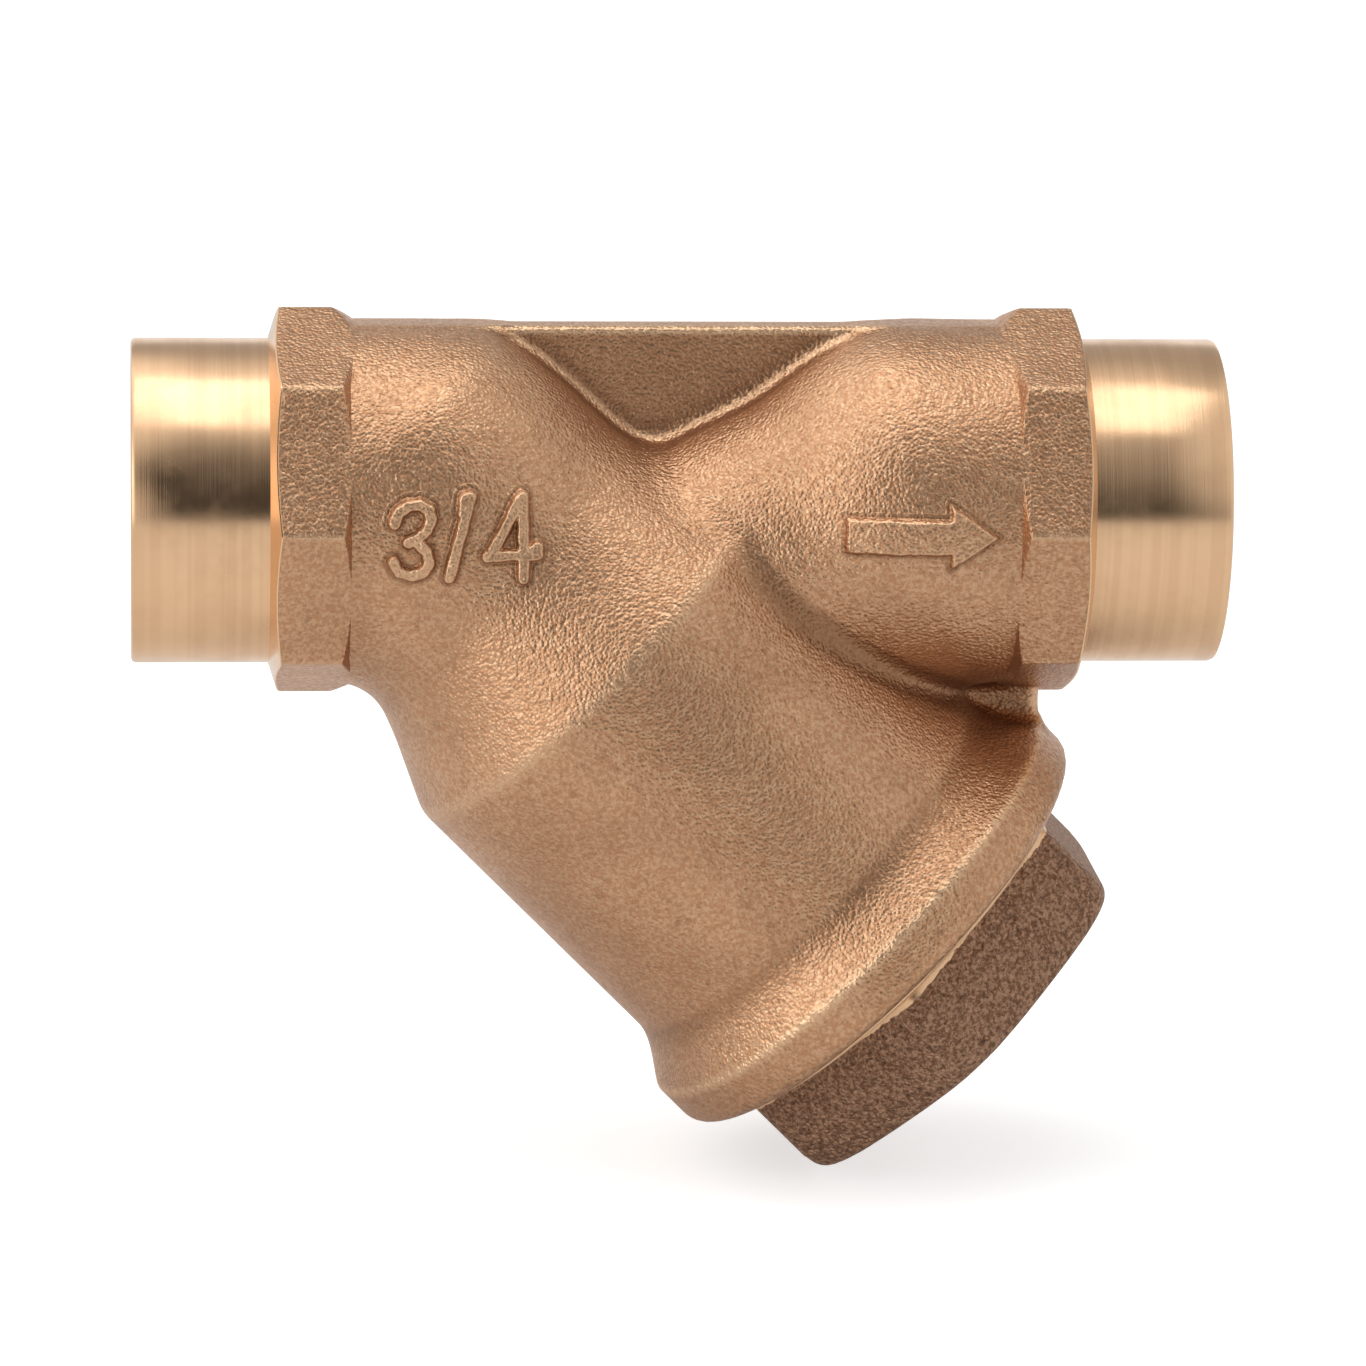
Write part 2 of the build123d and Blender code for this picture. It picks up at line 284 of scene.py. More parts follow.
def trim(a, b, width):
    """Larger of two distances, rounded by a parabola where they differ by less than the width."""
    return -blend(-a, -b, width)


def round_trim(a, b, radius):
    """Larger of two distances, with the corner between them rounded to a radius."""
    a, b = a + radius, b + radius
    return np.hypot(np.maximum(a, 0), np.maximum(b, 0)) + np.minimum(np.maximum(a, b), 0) - radius


def bar(x, y, z, start, end, start_radius, end_radius):
    """Distance to a round bar with domed ends in the plane y = 0, whose radius changes evenly along it."""
    rise_x, rise_z = end[0] - start[0], end[1] - start[1]
    share = np.clip(((x - start[0]) * rise_x + (z - start[1]) * rise_z) / (rise_x ** 2 + rise_z ** 2), 0, 1)
    away = np.sqrt((x - start[0] - share * rise_x) ** 2 + y * y + (z - start[1] - share * rise_z) ** 2)
    return away - start_radius - share * (end_radius - start_radius)


def block(x, y, z, low, high, rounding):
    """Distance to a block with rounded edges."""
    gaps = [np.abs(p - (lo + hi) / 2) - (hi - lo) / 2 + rounding for p, lo, hi in zip((x, y, z), low, high)]
    outside = np.sqrt(sum(np.maximum(gap, 0) ** 2 for gap in gaps))
    return outside + np.minimum(np.maximum.reduce(gaps), 0) - rounding


def bored(out, along, radius, start, end):
    """Distance to a round hole between two places along the branch."""
    return np.maximum(out - radius, np.maximum(start - along, along - end))


def branch_place(x, y, z):
    """Distance along the branch axis from the crossing, and distance out from the axis."""
    along = (x - CROSSING[0]) * AXIS[0] + z * AXIS[2]
    return along, np.hypot((x - CROSSING[0]) * ACROSS[0] + z * ACROSS[2], y)


# Distances along the branch from the crossing, radii, and widening per millimetre.
NECK_START, NECK_RADIUS, NECK_TAPER = -8.2, 12.54, 0.176
SHOULDER_START, SHOULDER_TAPER = 8.6, 0.472
FLANGE_FLAT = 4.1
# Places (x, z) and radii of the rising outlet passage, outside and inside.
ELBOW_BACK = 1.6
RISE_START, RISE_END, RISE_RADII = (47.25, -6.3), (65.25, -0.8), (12.0, 14.9)
PASSAGE_START, PASSAGE_RADIUS = (51.2, -5.1), 9.5
RIB = ((60.0, -1.7, -20.35), (76.15, 1.7, -12.0))
# Radii of the hollows, from the neck to the mouth. The last three leave room for turned rings.
NECK_BORE, SEAT_BORE, CHAMBER_BORE = 10.6, 12.85, 16.9
THREAD_ROOM, RECESS_ROOM, CUP_ROOM = 18.6, 20.6, 12.4


def branch_radius(along, s):
    """Outside radius along the branch: a gentle cone, a steeper one, the chamber, and a hollow swell to the
    flange."""
    gentle = NECK_RADIUS + NECK_TAPER * (along - NECK_START)
    steep = NECK_RADIUS + NECK_TAPER * (SHOULDER_START - NECK_START) + SHOULDER_TAPER * (along - SHOULDER_START)
    cone = trim(gentle, steep, 1.2)
    swell = np.clip((along - s.flange_root) / (s.flange_face - FLANGE_FLAT - s.flange_root), 0, 1)
    swell = 0.3 * swell ** 2 * (3 - 2 * swell) + 0.7 * swell ** 1.9
    return blend(cone, s.chamber_radius, 0.35) + (s.flange_radius - s.chamber_radius) * swell


def arms_and_branch(x, y, z, s):
    """Distance to the branch and both arms, softly joined. The arms thin a little where the octagons cover
    them."""
    along, out = branch_place(x, y, z)
    branch = trim(out - branch_radius(along, s), NECK_START - along, 3.0)
    branch = round_trim(branch, along - s.flange_face, 1.3)
    from_end = np.minimum(x, RUN_LENGTH - x)
    start = s.tail_length + s.collar_cone + 1.0
    thinner = 0.15 * np.clip((s.tail_length + 5.9 - from_end) / 0.8, 0, 1)
    inlet = bar(x, y, z, (start, 0), (CROSSING[0] - ELBOW_BACK, 0), s.run_radius, s.run_radius) + thinner
    rising = bar(x, y, z, RISE_START, RISE_END, *RISE_RADII)
    level = bar(x, y, z, (RISE_END[0], 0), (RUN_LENGTH - start, 0), s.run_radius, s.run_radius) + thinner
    outlet = np.maximum(blend(rising, level, 2.0), x - RUN_LENGTH + start)
    arms = blend(np.maximum(inlet, start - x), branch, 3.0)
    return blend(arms, outlet, 1.7)


def web(x, y, z, s):
    """Distance to the flat web between the arms."""
    start, half = s.tail_length + s.collar_cone + 2.0, s.web_thickness / 2
    return block(x, y, z, (start, -half, -2.0), (RUN_LENGTH - start, half, s.web_top), 0.35)


def outside(x, y, z, s):
    """Distance to the outside of the casting: branch and arms, with the web and the rib."""
    arms = blend(arms_and_branch(x, y, z, s), web(x, y, z, s), 1.2)
    arms = trim(arms, z - s.run_radius + 0.02, 0.2)
    return blend(arms, block(x, y, z, *RIB, 0.7), 1.6)


def inside(x, y, z, s):
    """Distance to the hollow: waterway, screen seat, chamber, outlet passage, and room for the turned
    rings."""
    along, out = branch_place(x, y, z)
    widening = np.interp(along, (10.8, s.chamber_start), (SEAT_BORE, CHAMBER_BORE))
    branch = np.minimum.reduce([
        bored(out, along, NECK_BORE, 0.0, 6.0), bored(out, along, SEAT_BORE, SCREEN_START, 11.0),
        bored(out, along, widening, 10.4, 17.6), bored(out, along, CHAMBER_BORE, s.chamber_start - 0.1, 42.0),
        bored(out, along, THREAD_ROOM, 41.2, s.flange_face), bored(out, along, RECESS_ROOM, 51.2, 60.0),
    ])
    inlet = bar(x, y, z, (0, 0), (CROSSING[0], 0), s.waterway_radius, 10.4)
    rising = bar(x, y, z, PASSAGE_START, RISE_END, PASSAGE_RADIUS, s.waterway_radius)
    level = bar(x, y, z, (RISE_END[0], 0), (RUN_LENGTH, 0), s.waterway_radius, s.waterway_radius)
    passages = blend(blend(inlet, branch, 0.6), blend(rising, level, 1.5), 1.0)
    cup_room = np.maximum(np.hypot(y, z) - CUP_ROOM, np.minimum(x, RUN_LENGTH - x) - CUP_DEPTH - 1.0)
    return np.minimum(passages, cup_room)


def slope_of(field, points, step=0.06):
    """Slope of a field at points, by central differences along the three axes."""
    shifts = step * np.eye(3)
    return np.stack([(field(*(points + d).T) - field(*(points - d).T)) / (2 * step) for d in shifts], -1)


# How often points are drawn onto the surface, the least squared slope that is trusted, and the longest draw in
# mesh steps.
DRAWS, LEAST_SLOPE, LONGEST_DRAW = 5, 0.3, 0.4


def field_surface(field, low, high, step):
    """Closed surface where a field is zero: one point in each grid cell that the surface crosses, at the
    mean of the crossings of its edges, joined by a quad round each crossed grid edge, then drawn onto the
    surface along the field's slope. The casting is made this way because its arms, branch and web melt into
    one another along lines that no grid of two parameters follows."""
    axes = [np.arange(lo, hi + step, step) for lo, hi in zip(low, high)]
    values = field(*np.meshgrid(*axes, indexing="ij"))
    cells = tuple(size - 1 for size in values.shape)
    offsets = list(itertools.product((0, 1), repeat=3))

    def corner(array, offset):
        return array[tuple(slice(o, o + n) for o, n in zip(offset, cells))]

    solid = values < 0
    count = sum(corner(solid, offset).astype(np.int8) for offset in offsets)
    active = (count > 0) & (count < 8)
    number = np.full(cells, -1)
    number[active] = np.arange(active.sum())
    total, hits = np.zeros((active.sum(), 3)), np.zeros(active.sum())
    for a, b in itertools.combinations(offsets, 2):
        if sum(abs(p - q) for p, q in zip(a, b)) != 1:
            continue
        va, vb = corner(values, a)[active], corner(values, b)[active]
        crossed = (va < 0) != (vb < 0)
        share = np.where(crossed, va / np.where(crossed, va - vb, 1), 0)
        total += np.where(crossed[:, None], np.array(a) + share[:, None] * (np.array(b) - np.array(a)), 0)
        hits += crossed
    points = np.array(low) + step * (np.stack(np.nonzero(active), -1) + total / hits[:, None])
    quads = []
    for axis in range(3):
        side, other = (axis + 1) % 3, (axis + 2) % 3
        starts = solid[tuple(slice(0, -1) if n == axis else slice(None) for n in range(3))]
        ends = solid[tuple(slice(1, None) if n == axis else slice(None) for n in range(3))]
        crossed = np.stack(np.nonzero(starts != ends), -1)
        ring = []
        for du, dv in ((-1, -1), (0, -1), (0, 0), (-1, 0)):
            cell = crossed.copy()
            cell[:, side] += du
            cell[:, other] += dv
            ring.append(number[tuple(cell.T)])
        ring = np.stack(ring, -1)
        flip = ~starts[tuple(crossed.T)]
        ring[flip] = ring[flip][:, ::-1]
        quads.append(ring)
    for _ in range(DRAWS):
        slope = slope_of(field, points)
        move = -(field(*points.T) / np.maximum((slope ** 2).sum(-1), LEAST_SLOPE))[:, None] * slope
        reach = np.linalg.norm(move, axis=-1, keepdims=True)
        points = points + move * np.minimum(1, LONGEST_DRAW * step / np.maximum(reach, 1e-9))
    return points, np.concatenate(quads)


FARTHEST_FRONT, HALVINGS = 25.0, 30


def front_surface(x, z, s):
    """How far the front of the casting stands towards -Y over each (x, z): the root of the field, by
    halving."""
    near, far = np.zeros(x.shape), np.full(x.shape, FARTHEST_FRONT)
    for _ in range(HALVINGS):
        middle = (near + far) / 2
        within = outside(x, -middle, z, s) < 0
        near, far = np.where(within, middle, near), np.where(within, far, middle)
    return near


def unevenness(x, z):
    """Small smooth wander, as on the edges of a cast mark: a few crossed waves whose lengths share no
    factor."""
    waves = ((1.9, 0.7, 0.3), (-1.1, 2.3, 1.7), (3.7, 2.9, 4.1),
             (-4.3, 3.1, 2.2), (7.1, -5.9, 0.9), (6.3, 8.7, 5.2))
    return sum(np.sin(a * x + b * z + c) / (1 + 0.35 * math.hypot(a, b)) for a, b, c in waves) / 2.2


def line_distance(x, z, points):
    """Distance in a plane to a line of straight runs."""
    nearest = np.full(x.shape, np.inf)
    for (ax, az), (bx, bz) in zip(points, points[1:]):
        run_x, run_z = bx - ax, bz - az
        share = np.clip(((x - ax) * run_x + (z - az) * run_z) / (run_x ** 2 + run_z ** 2), 0, 1)
        nearest = np.minimum(nearest, np.hypot(x - ax - share * run_x, z - az - share * run_z))
    return nearest


def inside_outline(x, z, corners):
    """Distance in a plane to a closed outline, negative inside it."""
    closed = [*corners, corners[0]]
    crossings = np.zeros(x.shape, int)
    for (ax, az), (bx, bz) in zip(closed, closed[1:]):
        if az != bz:
            crossings += ((az > z) != (bz > z)) & (x < ax + (z - az) * (bx - ax) / (bz - az))
    return np.where(crossings % 2 == 1, -1, 1) * line_distance(x, z, closed)


# A mark's sloping edge, how deep its sheet lies outside the mark and its closing sheet everywhere, and how far
# its edge and its face wander.
EDGE_WIDTH = 0.34
MARK_SUNK, MARK_ROOT = 0.3, 1.1
EDGE_WANDER, FACE_WANDER = 0.08, 0.05


def raised_mark(name, distance, low, high, spacing, face_wear_and_highlight, s):
    """Cast mark: a sheet over (x, z) that follows the casting's front, below its skin outside the mark and
    the mark's height above it inside, with a sloping edge; a second sheet further in closes it. Its crest is
    brightened by wear and a painted highlight, and its foot has painted shade."""
    x, z = np.meshgrid(np.arange(low[0], high[0], spacing), np.arange(low[1], high[1], spacing), indexing="ij")
    skin = front_surface(x, z, s)
    edge = distance(x, z) + EDGE_WANDER * unevenness(x, z)
    rise = np.clip((0.10 - edge) / EDGE_WIDTH, 0, 1)
    rise = rise * rise * (3 - 2 * rise)
    foot = np.clip((0.75 - edge) / 0.25, 0, 1)
    height = -MARK_SUNK + (MARK_SUNK + 0.025) * foot + s.mark_height * rise
    height = height + FACE_WANDER * rise * unevenness(2 * x, 2 * z)
    # Painted highlight, with wear, on a line along the crest and over the raised face; painted shade round the
    # foot.
    crest = np.maximum(np.exp(-((edge + 0.20) / 0.12) ** 2), face_wear_and_highlight * rise)
    shade = np.exp(-((edge - 0.16) / 0.17) ** 2)
    layers = [np.stack([x, -stand, z], -1).reshape(-1, 3) for stand in (skin + height, skin - MARK_ROOT)]
    mark = make_object(name, np.concatenate(layers), sheet_quads(*x.shape), cast_material(), None)
    for attribute, values in (("wear_and_highlight", crest), ("painted_shade", shade)):
        set_attribute(mark, attribute, np.stack([values, np.zeros(x.shape)]))
    ride(mark, "strainer_body", "cast_bronze", "body")


# ---------------------------------------------------------------- materials
def fill(tree, inputs, values):
    """Links or sets a node's inputs, given by name or number."""
    for key, value in values.items():
        if isinstance(value, bpy.types.NodeSocket):
            tree.links.new(value, inputs[key])
        else:
            inputs[key].default_value = value


def node(tree, kind, inputs=None, **settings):
    """New shader node, with its settings and with its inputs linked or set."""
    made = tree.nodes.new("ShaderNode" + kind)
    for key, value in settings.items():
        setattr(made, key, value)
    fill(tree, made.inputs, inputs or {})
    return made


def maths(tree, operation, *values, clamp=False):
    """Result of a Math node."""
    return node(tree, "Math", dict(enumerate(values)), operation=operation, use_clamp=clamp).outputs[0]


def spread(tree, value, low, high, to_low=0.0, to_high=1.0):
    """Value moved smoothly from one range to another."""
    inputs = {"Value": value, "From Min": low, "From Max": high, "To Min": to_low, "To Max": to_high}
    return node(tree, "MapRange", inputs, interpolation_type="SMOOTHSTEP").outputs["Result"]


def times(tree, a, b, clamp=False):
    """Product of two values."""
    return maths(tree, "MULTIPLY", a, b, clamp=clamp)


def mixed(tree, share, a, b):
    """Colour between two colours."""
    a, b = (value if isinstance(value, bpy.types.NodeSocket) else (*value, 1.0) for value in (a, b))
    made = node(tree, "Mix", data_type="RGBA")
    fill(tree, made.inputs, {0: share, 6: a, 7: b})
    return made.outputs[2]


def noise(tree, place, scale, detail=2.0, roughness=0.5, dimensions="3D"):
    """Noise value in texture units of one over the scale."""
    where = "W" if dimensions == "1D" else "Vector"
    inputs = {where: place, "Scale": scale, "Detail": detail, "Roughness": roughness}
    return node(tree, "TexNoise", inputs, noise_dimensions=dimensions).outputs["Fac"]


def new_group(name, inputs, outputs):
    """Node group that takes a place and named values, given with their defaults, and puts out named
    values."""
    tree = bpy.data.node_groups.new(name, "ShaderNodeTree")
    tree.interface.new_socket("Place", in_out="INPUT", socket_type="NodeSocketVector")
    for label, default in inputs.items():
        tree.interface.new_socket(label, in_out="INPUT", socket_type="NodeSocketFloat").default_value = default
    for label in outputs:
        tree.interface.new_socket(label, in_out="OUTPUT", socket_type="NodeSocketFloat")
    return tree, tree.nodes.new("NodeGroupInput").outputs, tree.nodes.new("NodeGroupOutput").inputs


def cast_grain_group():
    """Sand-cast skin: a height of pebbles and soft lumps, and masks for its tone, pits and stains."""
    if "Cast grain" in bpy.data.node_groups:
        return bpy.data.node_groups["Cast grain"]
    tree, given, result = new_group(
        "Cast grain", {"Grain size": 0.0004, "Coarseness": 0.5}, ("Height", "Tone", "Pits", "Stain"))
    scale = maths(tree, "DIVIDE", 1.0, given["Grain size"])
    grain = noise(tree, given["Place"], scale, 1.5, 0.5)
    lumps = noise(tree, given["Place"], times(tree, scale, 0.38), 2.0, 0.5)
    cells = node(tree, "TexVoronoi", {"Vector": given["Place"], "Scale": scale}, feature="F1").outputs
    hollows = maths(tree, "MULTIPLY_ADD", cells["Distance"], -0.5, 0.45)
    pebbles = maths(tree, "ADD", times(tree, grain, 0.5), hollows)
    clumps = noise(tree, given["Place"], times(tree, scale, 0.8), 3.0, 0.7)
    fill(tree, result, {
        "Height": maths(tree, "ADD", pebbles, times(tree, lumps, given["Coarseness"])),
        "Tone": spread(tree, clumps, 0.32, 0.66),
        "Pits": spread(tree, lumps, 0.42, 0.30),
        "Stain": spread(tree, noise(tree, given["Place"], 130.0, 3.0), 0.35, 0.68),
    })
    return tree


def turning_group():
    """Turned skin: fine grooves round the axis, as a one-way noise of the distance along it, and faint
    smears."""
    if "Turning lines" in bpy.data.node_groups:
        return bpy.data.node_groups["Turning lines"]
    tree, given, result = new_group(
        "Turning lines", {"Along": 0.0, "Feed": 0.00016}, ("Height", "Tone", "Smear"))
    scale = maths(tree, "DIVIDE", 1.0, given["Feed"])
    fine = noise(tree, given["Along"], scale, 3.0, 0.7, "1D")
    broad = noise(tree, given["Along"], times(tree, scale, 0.13), 2.0, 0.5, "1D")
    fill(tree, result, {
        "Height": maths(tree, "ADD", fine, times(tree, broad, 0.4)),
        "Tone": spread(tree, broad, 0.35, 0.65),
        "Smear": spread(tree, noise(tree, given["Place"], 170.0, 4.0, 0.6), 0.4, 0.75),
    })
    return tree


# Heights of the bumps, in metres.
GROOVE_DEPTH = 0.000006
GRAIN_DEPTH = 0.00014
CAP_GRAIN_DEPTH = 0.00042
MOTTLE_DEPTH = 0.00002
WIRE_BUMP, STRIP_BUMP = 0.00001, 0.000004


def new_material(name):
    """Material with an empty Principled BSDF, its tree, and the object's own coordinates."""
    material = bpy.data.materials.new(name)
    material.use_nodes = True
    tree = material.node_tree
    shader = tree.nodes["Principled BSDF"]
    return material, tree, shader, tree.nodes.new("ShaderNodeTexCoord").outputs["Object"]


def placed_group(tree, group, inputs):
    """Outputs of a node group, placed with its own values."""
    made = node(tree, "Group", node_tree=group)
    fill(tree, made.inputs, inputs)
    return made.outputs


def cast_grain(tree, place, size, coarseness):
    """Cast grain of a size, with soft lumps in it."""
    inputs = {"Place": place, "Grain size": size, "Coarseness": coarseness}
    return placed_group(tree, cast_grain_group(), inputs)


def turning_lines(tree, place, along):
    """Turning lines across the distance along an axis."""
    return placed_group(tree, turning_group(), {"Place": place, "Along": along})


def bumped(tree, height, distance, **under):
    """Normal raised by a height, over another Normal where one is given."""
    return node(tree, "Bump", {"Height": height, "Distance": distance, **under}).outputs["Normal"]


def attribute(tree, name):
    """Value that the mesh carries at each vertex."""
    return node(tree, "Attribute", attribute_name=name).outputs["Fac"]


def dot_product(tree, place, way):
    """Dot product of a place and a fixed direction."""
    return node(tree, "VectorMath", {0: place, 1: tuple(way)}, operation="DOT_PRODUCT").outputs["Value"]


def along_axis(tree, place):
    """Distance along the branch axis, in metres."""
    return dot_product(tree, place, AXIS)


def cast_material():
    """Blasted cast bronze: grain, pits, stains, worn edges with a painted highlight and painted shade in hollows.
    The octagons' outer ends are turned bright where the distance from the mouth, over the cone's rise, is less
    than the radius grows."""
    if "Cast bronze" in bpy.data.materials:
        return bpy.data.materials["Cast bronze"]
    f, s = finish(), sizes()
    material, tree, shader, place = new_material("Cast bronze")
    grain = cast_grain(tree, place, f.grain, 0.5)
    skin = mixed(tree, spread(tree, grain["Tone"], 0.2, 1.0, 0.0, 0.5), f.cast, f.cast_light)
    # Pits and stains are the bronze's own colour; the two attributes after them paint shade into hollows and
    # brighten worn edges with a painted highlight.
    for mask, share, tint in (
            (grain["Pits"], 0.3, f.cast_dark_and_shade), (grain["Stain"], 0.22, f.cast_dark_and_shade),
            (attribute(tree, "painted_shade"), 0.75, f.cast_dark_and_shade), (attribute(tree, "wear_and_highlight"), 0.75, f.cast_light)):
        skin = mixed(tree, times(tree, mask, share, clamp=True), skin, tint)
    split = node(tree, "SeparateXYZ", {0: place}).outputs
    from_end = maths(tree, "MINIMUM", split[0], maths(tree, "SUBTRACT", RUN_LENGTH * MM, split[0]))
    squares = [maths(tree, "POWER", value, 2.0) for value in (split[1], split[2])]
    ring = maths(tree, "SQRT", maths(tree, "ADD", *squares))
    step = s.collar_radius - s.tail_radius
    inward = times(tree, maths(tree, "SUBTRACT", from_end, s.tail_length * MM), step)
    outward = times(tree, maths(tree, "SUBTRACT", ring, s.tail_radius * MM), s.collar_cone)
    behind = maths(tree, "SUBTRACT", inward, outward)
    turned_face = spread(tree, behind, 0.16 * step * MM, 0.10 * step * MM)
    near = spread(tree, ring, (s.collar_radius + 0.5) * MM, (s.collar_radius + 0.2) * MM)
    turned_face = times(tree, turned_face, near)
    rough = spread(tree, grain["Tone"], 0.0, 1.0, 0.40, 0.30)
    height = times(tree, grain["Height"], maths(tree, "SUBTRACT", 1.0, turned_face))
    fill(tree, shader.inputs, {
        "Base Color": mixed(tree, turned_face, skin, f.turned),
        "Roughness": maths(tree, "ADD", rough, times(tree, turned_face, -0.18)),
        "Metallic": 0.92,
        "Normal": bumped(tree, height, GRAIN_DEPTH),
    })
    return material


def turned_material(name, along_branch, roughness=0.2):
    """Turned bronze: bright metal with fine grooves round its axis and a few dull smears."""
    if name in bpy.data.materials:
        return bpy.data.materials[name]
    f = finish()
    material, tree, shader, place = new_material(name)
    along = along_axis(tree, place) if along_branch else node(tree, "SeparateXYZ", {0: place}).outputs[0]
    lines = turning_lines(tree, place, along)
    skin = mixed(tree, spread(tree, lines["Tone"], 0.0, 1.0, 0.0, 0.16), f.turned, f.cast)
    fill(tree, shader.inputs, {
        "Base Color": mixed(tree, times(tree, lines["Smear"], 0.22), skin, f.cast),
        "Roughness": maths(tree, "ADD", roughness, times(tree, lines["Smear"], 0.10)),
        "Metallic": 1.0,
        "Normal": bumped(tree, lines["Height"], GROOVE_DEPTH),
    })
    return material


CAP_BRIGHT_EDGE = 0.85


def cap_material():
    """Cap: dark coarse skin on the hexagon beyond a ragged bright edge, and turned bronze with grooves on
    the collar, thread and hollow."""
    f = finish()
    material, tree, shader, place = new_material("Cap bronze")
    grain = cast_grain(tree, place, f.cap_grain, 1.0)
    along = along_axis(tree, place)
    lines = turning_lines(tree, place, along)
    edge = float(CROSSING @ AXIS + CAP_SEAT + COLLAR_THICKNESS + CAP_BRIGHT_EDGE) * MM
    ragged = times(tree, maths(tree, "SUBTRACT", noise(tree, place, 1300.0, 4.0, 0.6), 0.5), 0.0006)
    beyond = spread(tree, maths(tree, "ADD", along, ragged), edge - 0.00002, edge + 0.00002)
    cast = times(tree, attribute(tree, "cast_skin"), beyond)
    skin = mixed(tree, spread(tree, grain["Tone"], 0.1, 1.0, 0.0, 0.6), f.cap, f.cap_light)
    skin = mixed(tree, times(tree, grain["Pits"], 0.45), skin, tuple(0.35 * value for value in f.cap))
    metal = mixed(tree, times(tree, lines["Smear"], 0.2), f.turned, f.cast)
    rough = bumped(tree, times(tree, grain["Height"], cast), CAP_GRAIN_DEPTH)
    grooves = times(tree, lines["Height"], maths(tree, "SUBTRACT", 1.0, cast))
    fill(tree, shader.inputs, {
        "Base Color": mixed(tree, cast, metal, skin),
        "Roughness": spread(tree, cast, 0.0, 1.0, 0.27, 0.5),
        "Metallic": 0.8,
        "Normal": bumped(tree, grooves, GROOVE_DEPTH, Normal=rough),
    })
    return material


def gasket_material():
    """White gasket: a waxy sheet with faint mottling."""
    f = finish()
    material, tree, shader, place = new_material("White gasket")
    mottle = spread(tree, noise(tree, place, 900.0, 4.0, 0.6), 0.35, 0.7)
    fill(tree, shader.inputs, {
        "Base Color": mixed(tree, times(tree, mottle, 0.25), f.gasket, (0.62, 0.60, 0.55)),
        "Roughness": spread(tree, mottle, 0.0, 1.0, 0.34, 0.5),
        "Normal": bumped(tree, mottle, MOTTLE_DEPTH),
    })
    return material


def steel_material(name, strip):
    """Stainless steel: bright drawn wire, or strip with rolling lines along the branch and heat-tinted
    welds."""
    f = finish()
    material, tree, shader, place = new_material(name)
    cloud = spread(tree, noise(tree, place, 420.0 if strip else 1400.0, 3.0, 0.6), 0.3, 0.7)
    skin = mixed(tree, times(tree, cloud, 0.35), f.steel, (0.34, 0.33, 0.32))
    if strip:
        weld = attribute(tree, "weld")
        skin = mixed(tree, times(tree, weld, 0.7), skin, (0.20, 0.16, 0.12))
        lines = noise(tree, along_axis(tree, place), 9000.0, 2.0, 0.6, "1D")
        normal = bumped(tree, lines, STRIP_BUMP)
    else:
        normal = bumped(tree, cloud, WIRE_BUMP)
    rough = spread(tree, cloud, 0.0, 1.0, 0.22, 0.36)
    fill(tree, shader.inputs, {"Base Color": skin, "Roughness": rough, "Metallic": 1.0, "Normal": normal})
    return material


def set_attribute(piece, name, values):
    """Per-vertex value that a material reads."""
    attribute = piece.data.attributes.new(name, "FLOAT", "POINT")
    attribute.data.foreach_set("value", np.asarray(values, np.float32).ravel())


# ---------------------------------------------------------------- operators: cast and turned bronze
GRID_ROOM, GRID_BOTTOM = 0.9, -53.9


